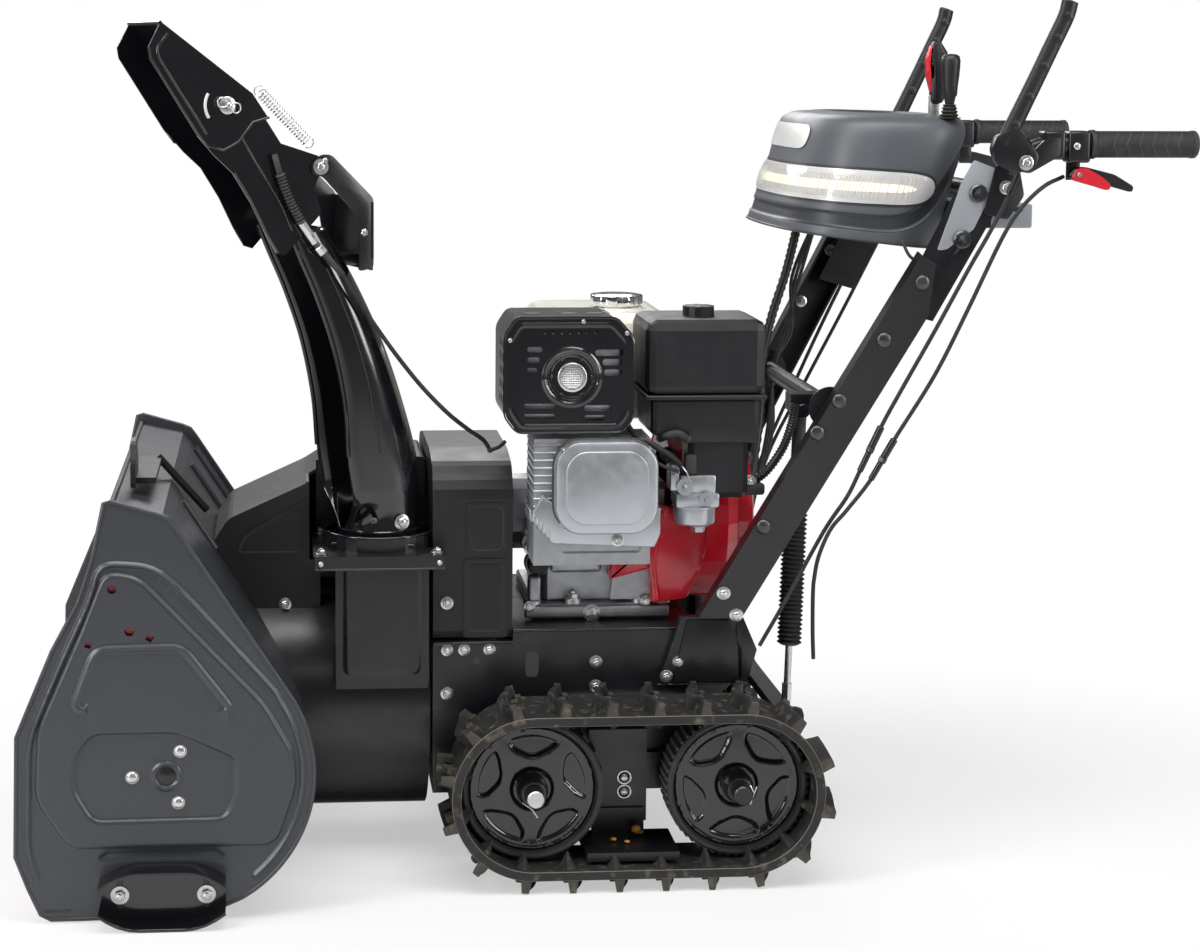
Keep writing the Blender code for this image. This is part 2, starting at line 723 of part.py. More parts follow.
def make_chute_group():
    chute = make_chute()
    lower = make_deflector_lower()
    upper = make_deflector_upper()
    spring = make_deflector_spring()
    tube("deflector_cable", through(DEFLECTOR_CABLE, 2), 0.0030, RUBBER)
    turn = pivot("chute_axis", (CHUTE_X, CHUTE_Y, CHUTE_BASE_Z))
    tilt = pivot("deflector_axis", on_chute(TILT_DX, 0, TILT_Z), turn)
    cap = pivot("cap_axis", on_chute(CAP_DX, 0, CAP_Z), tilt)
    carry(turn, chute, spring)
    carry(tilt, lower)
    carry(cap, upper)


# ---------------------------------------------------------------- covers and chassis


def make_front_cover():
    outline = rounded(
        [(-0.545, 0.400), (-0.532, 0.444), (-0.512, 0.474), (-0.404, 0.523), (-0.376, 0.541), (-0.350, 0.548),
         (-0.310, 0.548), (-0.2345, 0.548), (-0.2345, 0.360), (-0.480, 0.340)], 0.006, 2,
    )
    cover = plate("front_cover", outline, "XZ", -0.100, 0.120, BLACK_PLASTIC)
    bevelled(cover, 0.006)
    inside = [
        (-0.540, 0.380), (-0.522, 0.450), (-0.506, 0.470), (-0.404, 0.518), (-0.376, 0.537), (-0.350, 0.543),
        (-0.2385, 0.543), (-0.2385, 0.330), (-0.480, 0.320),
    ]
    hollow = plate("front_hollow", inside, "XZ", -0.096, 0.116, BLACK_PLASTIC)
    chute_room = box("chute_room", (-0.385, -0.12, 0.30), (-0.220, -0.0335, 0.60), BLACK_PLASTIC)
    ring_room = box("ring_room", (-0.400, -0.12, 0.415), (-0.380, -0.0335, 0.60), BLACK_PLASTIC)
    drum = rod("drum_room", (-0.52, 0, DRUM_Z), (-0.22, 0, DRUM_Z), DRUM_RADIUS + GAP * 2, BLACK_PLASTIC, 32)
    side_wall = box("cover_side", (-0.3895, -0.0335, 0.355), (-0.2345, -0.030, 0.545), BLACK_PLASTIC)
    rear_wall = box("cover_front_side", (-0.3895, -0.099, 0.355), (-0.386, -0.030, 0.414), BLACK_PLASTIC)
    upper_wall = box("cover_upper_side", (-0.404, -0.099, 0.410), (-0.4005, -0.030, 0.525), BLACK_PLASTIC)
    shelf = box("cover_shelf", (-0.404, -0.099, 0.411), (-0.386, -0.030, 0.4145), BLACK_PLASTIC)
    cut(cover, hollow)
    cut(cover, chute_room, ring_room)
    join(cover, side_wall, rear_wall, upper_wall, shelf)
    cut(cover, drum, housing_volume("cover_trim", GAP * 2))
    return cover


def make_belt_cover():
    outline = rounded(
        [(-0.172, 0.3135), (-0.172, 0.525), (-0.150, 0.556), (-0.080, 0.568), (0.080, 0.568), (0.150, 0.556),
         (0.172, 0.525), (0.172, 0.3135)], 0.014, 2,
    )
    outline = [point for point in outline if point[1] >= 0.3135]
    cover = plate("belt_cover", outline, "YZ", -0.2320, -0.1220, BLACK_PLASTIC)
    bevelled(cover, 0.006)
    inside = [
        (-0.168, 0.300), (-0.168, 0.522), (-0.148, 0.551), (-0.080, 0.5635), (0.080, 0.5635), (0.148, 0.551),
        (0.168, 0.522), (0.168, 0.300),
    ]
    hollow = plate("belt_hollow", inside, "YZ", -0.2285, -0.1255, BLACK_PLASTIC)
    window = rod("crank_window", (-0.14, 0, ENGINE_Z), (-0.11, 0, ENGINE_Z), 0.060, BLACK_PLASTIC, 24)
    return cut(cover, hollow, window)


def make_main_frame():
    low, high = (FRAME_FRONT, -FRAME_HALF, FRAME_BOTTOM), (FRAME_REAR, FRAME_HALF, FRAME_TOP)
    frame = box("main_frame", low, high, BLACK_PAINT)
    deck = box("deck", (DECK_FRONT, -FRAME_HALF, 0.290), (FRAME_REAR, FRAME_HALF, DECK_Z), BLACK_PAINT)
    wall = 0.003
    inside = box(
        "frame_inside", (FRAME_FRONT + wall, -FRAME_HALF + wall, 0.05),
        (FRAME_REAR - wall, FRAME_HALF - wall, FRAME_TOP - wall), BLACK_PAINT,
    )
    deck_inside = box(
        "deck_inside", (DECK_FRONT + wall, -FRAME_HALF + wall, 0.28),
        (FRAME_REAR - wall, FRAME_HALF - wall, DECK_Z - wall), BLACK_PAINT,
    )
    belt_slot = box("belt_slot", (-0.222, -0.12, 0.29), (-0.142, 0.12, 0.33), BLACK_PAINT)
    shaft_hole = rod("shaft_hole", (-0.25, 0, DRUM_Z), (-0.22, 0, DRUM_Z), 0.014, BLACK_PAINT)
    axle_hole = rod("axle_hole", (DRIVE_X, -0.2, AXLE_Z), (DRIVE_X, 0.2, AXLE_Z), 0.0145, BLACK_PAINT)
    ears = [
        plate(
            "column_ear", [(0.078, 0.251), (0.203, 0.251), (0.203, 0.300), (0.182, 0.347), (0.110, 0.347)],
            "XZ", *across(side, FRAME_HALF - 0.001, 0.1925), BLACK_PAINT,
        )
        for side in (LEFT, RIGHT)
    ]
    join(frame, deck, *ears)
    return cut(frame, inside, deck_inside, belt_slot, shaft_hole, axle_hole)


def make_transmission():
    """The gear case, open underneath, with the drive axle's two ends standing out of it."""
    case = box("transmission", (-0.165, -0.100, 0.104), (-0.045, 0.100, 0.262), BLACK_PAINT, 0.008)
    axle_ends = [(DRIVE_X, side * AXLE_REACH, AXLE_Z) for side in (LEFT, RIGHT)]
    axle = rod("drive_axle", *axle_ends, AXLE_RADIUS, STEEL)
    inside = box("case_inside", (-0.157, -0.092, 0.095), (-0.053, 0.092, 0.254), BLACK_PAINT)
    join(case, axle)
    return cut(case, inside)


# ---------------------------------------------------------------- tracks


def belt_outline():
    """A stadium with a lug standing out of it at each pitch."""
    length = IDLER_X - DRIVE_X
    perimeter = 2 * length + math.tau * BELT_OUTER
    half_base, half_tip = 0.0085, 0.0055

    def at(distance, out):
        distance %= perimeter
        radius = BELT_OUTER + out
        if distance < length:
            return (IDLER_X - distance, AXLE_Z - radius)
        distance -= length
        if distance < math.pi * BELT_OUTER:
            angle = -math.pi / 2 - distance / BELT_OUTER
            return (DRIVE_X + radius * math.cos(angle), AXLE_Z + radius * math.sin(angle))
        distance -= math.pi * BELT_OUTER
        if distance < length:
            return (DRIVE_X + distance, AXLE_Z + radius)
        angle = math.pi / 2 - (distance - length) / BELT_OUTER
        return (IDLER_X + radius * math.cos(angle), AXLE_Z + radius * math.sin(angle))

    pitch = perimeter / LUG_COUNT
    points = []
    for i in range(LUG_COUNT):
        middle = (i + 0.5) * pitch
        points += [
            at(middle - half_base, 0), at(middle - half_tip, LUG_HEIGHT), at(middle + half_tip, LUG_HEIGHT),
            at(middle + half_base, 0), at(middle + pitch / 2, 0),
        ]
    return points


def belt_hole():
    rear = circle(IDLER_X, AXLE_Z, BELT_INNER, 15, -math.pi / 2, math.pi)
    front = circle(DRIVE_X, AXLE_Z, BELT_INNER, 15, math.pi / 2, math.pi)
    return rear + front


def make_track_belt(name, side):
    low, high = across(side, BELT_INSIDE, BELT_OUTSIDE)
    return plate(name, belt_outline(), "XZ", low, high, RUBBER, (belt_hole(),))


def make_wheel(name, side, x):
    """A dished disc with a rubber tyre and a hub, bored for its axle."""
    profile = [
        (AXLE_RADIUS + 0.0005, 0.002), (0.019, 0.002), (0.020, 0.053), (0.086, 0.048), (0.090, 0.004),
        (WHEEL_RADIUS, 0.004), (WHEEL_RADIUS, 0.066), (0.091, 0.066), (0.087, 0.053), (0.034, 0.058),
        (0.024, 0.084), (AXLE_RADIUS + 0.0005, 0.084),
    ]
    return turned(name, profile, (x, side * 0.208, AXLE_Z), Vector((0, side, 0)), BLACK_PAINT, 20)


def make_track_frame():
    axle_ends = [(IDLER_X, side * AXLE_REACH, AXLE_Z) for side in (LEFT, RIGHT)]
    frame = rod("track_frame", *axle_ends, AXLE_RADIUS, BLACK_PAINT)
    pieces = []
    for side in (LEFT, RIGHT):
        beam = plate(
            "beam", rounded([(-0.128, 0.105), (0.200, 0.105), (0.285, 0.180), (0.285, 0.215), (0.250, 0.215),
                             (0.190, 0.155), (-0.128, 0.155)], 0.010, 2),
            "XZ", *across(side, 0.1820, 0.1900), BLACK_PAINT,
        )
        drop = box(
            "drop", (-0.017, across(side, 0.1880, 0.1950)[0], 0.060),
            (0.064, across(side, 0.1880, 0.1950)[1], 0.190), BLACK_PAINT,
        )
        shoe = box(
            "shoe", (-0.030, across(side, 0.1900, 0.2900)[0], 0.034),
            (0.096, across(side, 0.1900, 0.2900)[1], 0.046), BLACK_PLASTIC,
        )
        stem = box(
            "stem", (-0.012, across(side, 0.1890, 0.2000)[0], 0.040),
            (0.060, across(side, 0.1890, 0.2000)[1], 0.080), BLACK_PAINT,
        )
        pieces += [beam, drop, stem, shoe]
    crossbar = box("rear_crossbar", (0.256, -0.186, 0.186), (0.280, 0.186, 0.200), BLACK_PAINT)
    join(frame, *pieces, crossbar)
    bore = rod("beam_bore", (DRIVE_X, -0.196, AXLE_Z), (DRIVE_X, 0.196, AXLE_Z), AXLE_RADIUS + 0.0005, STEEL)
    return cut(frame, bore)


def make_tracks():
    tilt = pivot("track_axis", (DRIVE_X, 0, AXLE_Z))
    carry(tilt, make_track_frame())
    for name, side in SIDES:
        carry(tilt, make_track_belt("track_belt_" + name, side))
        for kind, x in (("drive", DRIVE_X), ("idler", IDLER_X)):
            wheel = make_wheel(f"{kind}_wheel_{name}", side, x)
            axis = pivot(f"{kind}_axis_{name}", (x, side * 0.25, AXLE_Z), tilt)
            carry(axis, wheel)


# ---------------------------------------------------------------- engine


def make_engine_block():
    block = box("engine_block", (-0.076, -0.105, 0.345), (0.108, 0.105, 0.520), CAST_ALUMINIUM, 0.010)
    base = box("engine_base", (-0.089, -0.125, DECK_Z + GAP), (0.100, 0.115, 0.352), CAST_ALUMINIUM, 0.003)
    nose = rod("crank_nose", (-0.116, 0, ENGINE_Z), (-0.060, 0, ENGINE_Z), 0.055, CAST_ALUMINIUM)
    shaft = rod("crankshaft", (-0.185, 0, ENGINE_Z), (-0.10, 0, ENGINE_Z), 0.0125, STEEL)
    barrel = box("barrel", (-0.062, -0.216, 0.440), (0.052, -0.095, 0.590), CAST_ALUMINIUM, 0.006)
    fins = [
        box("fin", (-0.098, y, 0.426), (0.062, y + 0.0035, 0.600), CAST_ALUMINIUM)
        for y in (-0.132, -0.148, -0.164, -0.180, -0.196, -0.212)
    ]
    wedge = plate(
        "fan_duct", [(0.020, 0.358), (0.108, 0.358), (0.108, 0.410), (0.060, 0.415), (0.024, 0.392)],
        "XZ", -0.124, -0.100, RED_PAINT,
    )
    return join(block, base, nose, shaft, barrel, *fins, wedge)


def make_rocker_cover():
    outline = rounded(
        [(-0.050, 0.474), (0.046, 0.474), (0.068, 0.498), (0.068, 0.578), (0.046, 0.601), (-0.050, 0.601),
         (-0.072, 0.578), (-0.072, 0.498)], 0.020, 3,
    )
    cover = plate("rocker_cover", outline, "XZ", -0.2500, -0.2165, CAST_ALUMINIUM)
    return bevelled(cover, 0.007)


def make_muffler():
    outline = [
        (-0.122, 0.610), (0.020, 0.610), (0.035, 0.628), (0.035, 0.738), (0.012, 0.765), (-0.124, 0.765),
        (-0.139, 0.742), (-0.139, 0.632),
    ]
    muffler = plate("muffler", outline, "XZ", -0.2200, -0.0800, BLACK_PAINT)
    bevelled(muffler, 0.005, 1)
    outlet = rod("exhaust", (-0.049, -0.228, 0.685), (-0.049, -0.200, 0.685), 0.023, BLACK_PAINT)
    hollow = [
        (-0.120, 0.613), (0.0185, 0.613), (0.032, 0.629), (0.032, 0.737), (0.0105, 0.762), (-0.1225, 0.762),
        (-0.136, 0.741), (-0.136, 0.6325),
    ]
    inside = plate("muffler_inside", hollow, "XZ", -0.2170, -0.0830, BLACK_PAINT)
    bore = rod("exhaust_bore", (-0.049, -0.240, 0.685), (-0.049, -0.200, 0.685), 0.019, BLACK_PAINT)
    join(muffler, outlet)
    return cut(muffler, inside, bore)


def make_fuel_tank():
    tank = box("fuel_tank", (-0.074, -0.048, 0.5985), (0.124, 0.200, 0.750), TANK_PAINT, 0.024, 3)
    neck = rod("filler_neck", (0.048, 0.050, 0.740), (0.048, 0.050, 0.7540), 0.030, TANK_PAINT)
    inside = box("tank_inside", (-0.0715, -0.0455, 0.601), (0.1215, 0.1975, 0.7475), TANK_PAINT, 0.0215, 3)
    neck_bore = rod("neck_bore", (0.048, 0.050, 0.730), (0.048, 0.050, 0.760), 0.024, TANK_PAINT)
    join(tank, neck)
    cut(tank, inside, neck_bore)
    profile = [(0.0, 0.7543), (0.037, 0.7543), (0.039, 0.758), (0.039, 0.766), (0.035, 0.771), (0.0, 0.772)]
    cap = turned("fuel_cap", profile, (0.048, 0.050, 0), Z_AXIS, CHROME, 28)
    carry(pivot("fuel_cap_axis", (0.048, 0.050, 0.754)), cap)


def make_air_cleaner():
    case = box("air_cleaner_case", (0.064, -0.198, 0.600), (0.214, -0.060, 0.6550), BLACK_PLASTIC, 0.008, 2)
    duct = box("intake_duct", (0.117, -0.190, 0.512), (0.201, -0.130, 0.610), BLACK_PLASTIC, 0.008)
    join(case, duct)
    lid = box("air_cleaner_lid", (0.056, -0.204, 0.6553), (0.221, -0.055, 0.7590), BLACK_PLASTIC, 0.014, 2)
    knob = rod("lid_knob", (0.138, -0.130, 0.755), (0.138, -0.130, 0.772), 0.022, BLACK_PLASTIC, 16)
    join(lid, knob)


def make_fan_housing():
    profile = [
        (0.0, 0.0), (0.125, 0.0), (0.125, 0.078), (0.112, 0.094), (0.102, 0.097), (0.098, 0.118),
        (0.080, 0.1225), (0.0, 0.1225),
    ]
    inside = [
        (0.0, -0.010), (0.122, -0.010), (0.122, 0.076), (0.110, 0.090), (0.098, 0.094), (0.094, 0.116),
        (0.078, 0.1195), (0.0, 0.1195),
    ]
    base = (0.1085, 0, ENGINE_Z)
    housing = turned("fan_housing", profile, base, X_AXIS, RED_PAINT, 28)
    cut(housing, turned("fan_hollow", inside, base, X_AXIS, RED_PAINT, 28))
    grip = box("recoil_grip", (0.2325, 0.024, 0.522), (0.2480, 0.096, 0.540), BLACK_PLASTIC, 0.005, 2)
    carry(pivot("recoil_axis", (0.2325, 0.060, 0.531)), grip)
    return housing


# ---------------------------------------------------------------- handle


def column_matrix(side):
    """Local Z up the column, local Y across it, local X to its rear edge."""
    bottom = Vector((COLUMN_BOTTOM.x, side * COLUMN_BOTTOM.y, COLUMN_BOTTOM.z))
    top = Vector((COLUMN_TOP.x, side * COLUMN_TOP.y, COLUMN_TOP.z))
    up = (top - bottom).normalized()
    across_axis = (Y_AXIS - up * up.y).normalized()
    rear = across_axis.cross(up)
    turn = Matrix((rear, across_axis, up)).transposed().to_4x4()
    return Matrix.Translation(bottom) @ turn, (top - bottom).length


def make_handle_column(name, side):
    matrix, length = column_matrix(side)
    half, depth, wall = COLUMN_WIDTH / 2, COLUMN_DEPTH / 2, 0.003
    column = box(name, (-half, -depth, -0.03), (half, depth, length + 0.02), BLACK_PAINT)
    outer = depth - wall
    low, high = (-depth - 0.01, outer) if side == RIGHT else (-outer, depth + 0.01)
    inner_half = half - wall
    channel = box(
        name + "_channel", (-inner_half, low, -0.05), (inner_half, high, length + 0.05), BLACK_PAINT
    )
    corner = [
        (half - 0.030, length + 0.022), (half + 0.01, length + 0.022), (half + 0.01, length - 0.045),
        (half, length - 0.045),
    ]
    nick = plate(name + "_nick", corner, "XZ", -0.05, 0.05, BLACK_PAINT)
    for piece in (column, channel, nick):
        moved(piece, matrix)
    foot = box(name + "_foot", (0.05, -0.3, 0.25), (0.30, 0.3, 0.3480), BLACK_PAINT)
    return cut(column, channel, nick, foot)


def column_inner_face(z):
    """Distance from the middle to the columns' inner edge at a height."""
    rise = (z - COLUMN_BOTTOM.z) / (COLUMN_TOP.z - COLUMN_BOTTOM.z)
    return COLUMN_BOTTOM.y + rise * (COLUMN_TOP.y - COLUMN_BOTTOM.y) - COLUMN_DEPTH / 2


def make_column_crossbar():
    x, z = 0.306, 0.640
    reach = column_inner_face(z) - 0.0035
    bar = rod("column_crossbar", (x, -reach, z), (x, reach, z), 0.013, BLACK_PAINT, 16)
    hanger = plate(
        "strut_hanger", [(0.262, 0.628), (0.300, 0.628), (0.318, 0.634), (0.318, 0.652), (0.262, 0.652)],
        "XZ", STRUT_TOP.y - 0.018, STRUT_TOP.y + 0.018, BLACK_PAINT,
    )
    return join(bar, hanger)


def plan_point(angle, front, rear, half, grow=0.0):
    """A point of the console's plan: a blunt nose in front and squarer rear corners."""
    cosine, sine = math.cos(angle), math.sin(angle)
    power = 2 / 3.4 if cosine > 0 else 2 / 2.6
    middle, reach = (front + rear) / 2, (rear - front) / 2 + grow
    x = middle + reach * math.copysign(abs(cosine) ** power, cosine)
    y = (half + grow) * math.copysign(abs(sine) ** power, sine)
    return x, y


# Front, rear and half width of the console, with the height of each level at its front and its rear
CONSOLE_LEVELS = (
    (0.242, 0.472, 0.206, 0.880, 0.852), (0.250, 0.484, 0.204, 0.908, 0.888),
    (0.268, 0.502, 0.198, 0.960, 0.950), (0.284, 0.518, 0.190, 1.018, 1.006),
    (0.300, 0.514, 0.176, 1.034, 1.028), (0.330, 0.497, 0.150, 1.0375, 1.034),
)


def make_console_shell():
    count = 24

    def build(work):
        rows = []
        for front, rear, half, front_z, rear_z in CONSOLE_LEVELS:
            row = []
            for i in range(count):
                x, y = plan_point(math.tau * i / count, front, rear, half)
                z = front_z + (rear_z - front_z) * (x - front) / (rear - front)
                row.append(work.verts.new((x, y, z)))
            rows.append(row)
        for row, above in zip(rows, rows[1:]):
            for i in range(count):
                j = (i + 1) % count
                work.faces.new((row[i], row[j], above[j], above[i]))
        work.faces.new(rows[-1])

    shell = place("console_shell", mesh_from("console_shell", build), GREY_PLASTIC)
    skin = shell.modifiers.new("skin", "SOLIDIFY")
    skin.thickness = 0.003
    skin.offset = -1.0
    slot_low = (GEAR_X - 0.031, GEAR_Y - 0.005, 1.000)
    slot_high = (GEAR_X + 0.031, GEAR_Y + 0.005, 1.060)
    gear_slot = box("gear_slot", slot_low, slot_high, GREY_PLASTIC)
    stick_hole = rod("stick_hole", (STICK_X, STICK_Y, 1.000), (STICK_X, STICK_Y, 1.060), 0.016, GREY_PLASTIC)
    return smooth(cut(shell, gear_slot, stick_hole))


def make_headlight_lens():
    steps = 24
    low_z, high_z = 0.929, 0.961

    def build(work):
        rows = []
        for z, front, rear, half in ((low_z, 0.2575, 0.4915, 0.2012), (high_z, 0.2683, 0.5023, 0.1978)):
            row = []
            for i in range(steps + 1):
                angle = math.radians(76) + math.radians(208) * i / steps
                x, y = plan_point(angle, front, rear, half, 0.0016)
                row.append(work.verts.new((x, y, z)))
            rows.append(row)
        for i in range(steps):
            work.faces.new((rows[0][i], rows[0][i + 1], rows[1][i + 1], rows[1][i]))

    lens = place("headlight_lens", mesh_from("headlight_lens", build), CLEAR_LENS)
    skin = lens.modifiers.new("skin", "SOLIDIFY")
    skin.thickness = 0.0025
    skin.offset = 1.0
    return smooth(lens)


def make_console_bracket():
    outline = [(0.388, 0.775), (0.440, 0.760), (0.518, 0.900), (0.518, 0.945), (0.490, 0.960), (0.462, 0.925)]
    inner = 0.2320
    left = plate("console_bracket", outline, "XZ", -inner - 0.0035, -inner, BLACK_PAINT)
    right = plate("bracket_right", outline, "XZ", inner, inner + 0.0035, BLACK_PAINT)
    tray = box("control_box", (0.500, -0.190, 0.884), (0.586, 0.190, 0.914), GREY_PLASTIC)
    bar = box("bracket_bar", (0.494, -inner - 0.001, 0.886), (0.517, inner + 0.001, 0.906), BLACK_PAINT)
    inside = box("control_inside", (0.503, -0.187, 0.875), (0.583, 0.187, 0.911), GREY_PLASTIC)
    join(left, bar, right, tray)
    return cut(left, inside)


def make_handlebar():
    half = [
        (0.774, 0.270, 1.000), (0.640, 0.270, 1.000), (0.590, 0.270, 0.999), (0.568, 0.264, 0.995),
        (0.552, 0.250, 0.984), (0.544, 0.232, 0.966), (0.539, 0.210, 0.945), (0.536, 0.180, 0.934),
        (0.535, 0.140, 0.9305),
    ]
    route = [*half, (0.535, 0.0, 0.9300), *mirrored(half[::-1], LEFT)]
    bar = as_mesh(tube("handlebar", route, TUBE_RADIUS, BLACK_PAINT, 2))
    pieces = []
    for side in (LEFT, RIGHT):
        low, high = across(side, 0.2550, 0.2860)
        pieces.append(box("lever_clamp", (0.570, low, 0.980), (0.596, high, 1.018), BLACK_PAINT))
        ear_low, ear_high = across(side, 0.2800, 0.2860)
        ear = plate(
            "lever_ear", [(0.528, 0.966), (0.552, 0.962), (0.592, 0.985), (0.592, 1.010), (0.575, 1.010)],
            "XZ", ear_low, ear_high, BLACK_PAINT,
        )
        pin_ends = [(LEVER_PIVOT.x, side * y, LEVER_PIVOT.z) for y in (0.282, 0.308)]
        pin = rod("lever_pin", *pin_ends, 0.004, STEEL, 16)
        mount_low, mount_high = across(side, 0.2560, 0.2580)
        hanger = box("trigger_mount", (0.606, low, 0.978), (0.630, high, 1.017), BLACK_PAINT)
        tab = box("trigger_tab", (0.610, mount_low, 0.952), (0.629, mount_high, 0.985), BLACK_PAINT)
        trigger_pin = rod(
            "trigger_pin", (TRIGGER_PIVOT.x, side * 0.257, TRIGGER_PIVOT.z),
            (TRIGGER_PIVOT.x, side * 0.2855, TRIGGER_PIVOT.z), 0.0030, STEEL, 12,
        )
        pieces += [ear, pin, hanger, tab, trigger_pin]
    return join(bar, *pieces)


def make_grip(name, side):
    y = side * GRIP_Y
    grip = rod(name, (GRIP_FRONT, y, GRIP_Z), (GRIP_REAR, y, GRIP_Z), GRIP_RADIUS, RUBBER)
    bore = rod(name + "_bore", (GRIP_FRONT - 0.01, y, GRIP_Z), (0.7750, y, GRIP_Z), TUBE_RADIUS + GAP, RUBBER)
    return cut(grip, bore)


def make_clutch_lever(name, side):
    outline = [
        (0.530, 0.967), (0.550, 0.967), (0.553, 0.984), (0.536, 1.004), (0.531, 1.022), (0.560, 1.082),
        (0.597, 1.164), (0.602, 1.180), (0.596, 1.190), (0.584, 1.190), (0.577, 1.182), (0.545, 1.112),
        (0.507, 1.030), (0.494, 1.004), (0.500, 0.990),
    ]
    low, high = across(side, 0.2885, 0.3055)
    lever = plate(name, outline, "XZ", low, high, BLACK_PLASTIC)
    bevelled(lever, 0.003, 1)
    hole_ends = [(LEVER_PIVOT.x, side * y, LEVER_PIVOT.z) for y in (0.27, 0.32)]
    hole = rod(name + "_hole", *hole_ends, 0.0045, BLACK_PLASTIC, 16)
    cut(lever, hole)
    return carry(pivot(name + "_axis", (LEVER_PIVOT.x, side * LEVER_PIVOT.y, LEVER_PIVOT.z)), lever)


def make_trigger(name, side, near, far, outline, paint):
    low, high = across(side, near, far)
    trigger = plate(name, rounded(outline, 0.004, 2), "XZ", low, high, paint)
    hole = rod(
        name + "_hole", (TRIGGER_PIVOT.x, side * 0.24, TRIGGER_PIVOT.z),
        (TRIGGER_PIVOT.x, side * 0.30, TRIGGER_PIVOT.z), 0.0034, paint, 12,
    )
    cut(trigger, hole)
    return carry(pivot(name + "_axis", (TRIGGER_PIVOT.x, side * TRIGGER_PIVOT.y, TRIGGER_PIVOT.z)), trigger)


def make_triggers():
    long_outline = [
        (0.611, 0.955), (0.617, 0.9685), (0.632, 0.9700), (0.672, 0.960), (0.699, 0.944), (0.697, 0.936),
        (0.668, 0.944), (0.632, 0.951),
    ]
    short_outline = [
        (0.611, 0.953), (0.617, 0.9685), (0.630, 0.9690), (0.650, 0.958), (0.664, 0.946), (0.660, 0.939),
        (0.640, 0.945),
    ]
    for name, side in SIDES:
        make_trigger("steer_trigger_" + name, side, 0.2590, 0.2715, long_outline, BLACK_PLASTIC)
    make_trigger("height_trigger", LEFT, 0.2725, 0.2845, short_outline, RED_PLASTIC)


def make_gear_lever():
    stem_low = (GEAR_X - 0.008, GEAR_Y - 0.0025, GEAR_Z - 0.008)
    stem = box("gear_lever", stem_low, (GEAR_X + 0.008, GEAR_Y + 0.0025, 1.062), STEEL)
    grip_outline = rounded(
        [(GEAR_X - 0.010, 1.052), (GEAR_X + 0.012, 1.052), (GEAR_X + 0.018, 1.100), (GEAR_X + 0.012, 1.136),
         (GEAR_X - 0.006, 1.138), (GEAR_X - 0.012, 1.100)], 0.010, 3,
    )
    grip = plate("gear_grip", grip_outline, "XZ", GEAR_Y - 0.013, GEAR_Y + 0.013, RED_PLASTIC)
    bevelled(grip, 0.005, 2)
    join(stem, grip)
    return carry(pivot("gear_axis", (GEAR_X, GEAR_Y, GEAR_Z)), stem)


def make_joystick():
    boot = turned(
        "joystick_boot",
        [(0.0, 0.006), (0.0138, 0.006), (0.0138, 0.012), (0.011, 0.018), (0.009, 0.024), (0.0, 0.024)],
        (STICK_X, STICK_Y, STICK_Z - 0.006), Z_AXIS, BLACK_PLASTIC, 20,
    )
    stick = turned(
        "joystick",
        [(0.0, 0.0215), (0.0055, 0.0215), (0.0075, 0.040), (0.0115, 0.062), (0.0125, 0.078), (0.0090, 0.086),
         (0.0, 0.088)],
        (STICK_X, STICK_Y, STICK_Z), Z_AXIS, BLACK_PLASTIC, 20,
    )
    side_axis = pivot("stick_side_axis", (STICK_X, STICK_Y, STICK_Z + 0.006))
    fore_axis = pivot("stick_fore_axis", (STICK_X, STICK_Y, STICK_Z + 0.006), side_axis)
    carry(side_axis, boot)
    carry(fore_axis, stick)


# ---------------------------------------------------------------- strut, cables and tool


def make_strut():
    down = (STRUT_BOTTOM - STRUT_TOP).normalized()
    top = STRUT_TOP + Vector((0, 0, 0.0170))
    cylinder = rod("strut_cylinder", top, STRUT_TOP + down * 0.315, 0.0175, RUBBER, 20)
    top_trim = box("strut_trim", (0.24, -0.19, 0.6277), (0.32, -0.11, 0.66), RUBBER)
    bore = rod("strut_bore", STRUT_TOP + down * 0.12, STRUT_TOP + down * 0.33, 0.0056, STEEL, 16)
    cut(cylinder, top_trim, bore)
    foot = STRUT_BOTTOM + Vector((0, 0, -0.0020))
    stem = rod("strut_rod", STRUT_TOP + down * 0.19, foot, 0.0050, STEEL, 16)
    return carry(pivot("strut_axis", STRUT_BOTTOM), stem)


CLUTCH_CABLE = [
    (0.533, -0.295, 0.961), (0.517, -0.295, 0.924), (0.498, -0.292, 0.884), (0.472, -0.290, 0.836),
    (0.430, -0.286, 0.754), (0.390, -0.278, 0.676), (0.364, -0.270, 0.622), (0.338, -0.262, 0.560),
    (0.323, -0.255, 0.524), (0.295, -0.242, 0.474), (0.247, -0.226, 0.374), (0.216, -0.212, 0.310),
]
STEER_CABLE = [
    (0.608, -0.252, 0.956), (0.570, -0.290, 0.945), (0.539, -0.298, 0.918), (0.514, -0.296, 0.877),
    (0.472, -0.290, 0.781), (0.432, -0.282, 0.693), (0.382, -0.272, 0.605), (0.353, -0.264, 0.549),
    (0.323, -0.256, 0.506), (0.303, -0.250, 0.479), (0.289, -0.244, 0.442), (0.285, -0.236, 0.409),
    (0.285, -0.230, 0.384), (0.288, -0.220, 0.330), (0.292, -0.210, 0.290),
]


def make_cables():
    tube("clutch_cable", through(CLUTCH_CABLE, 2), 0.0028, RUBBER)
    tube("steer_cable", through(STEER_CABLE, 2), 0.0028, RUBBER)


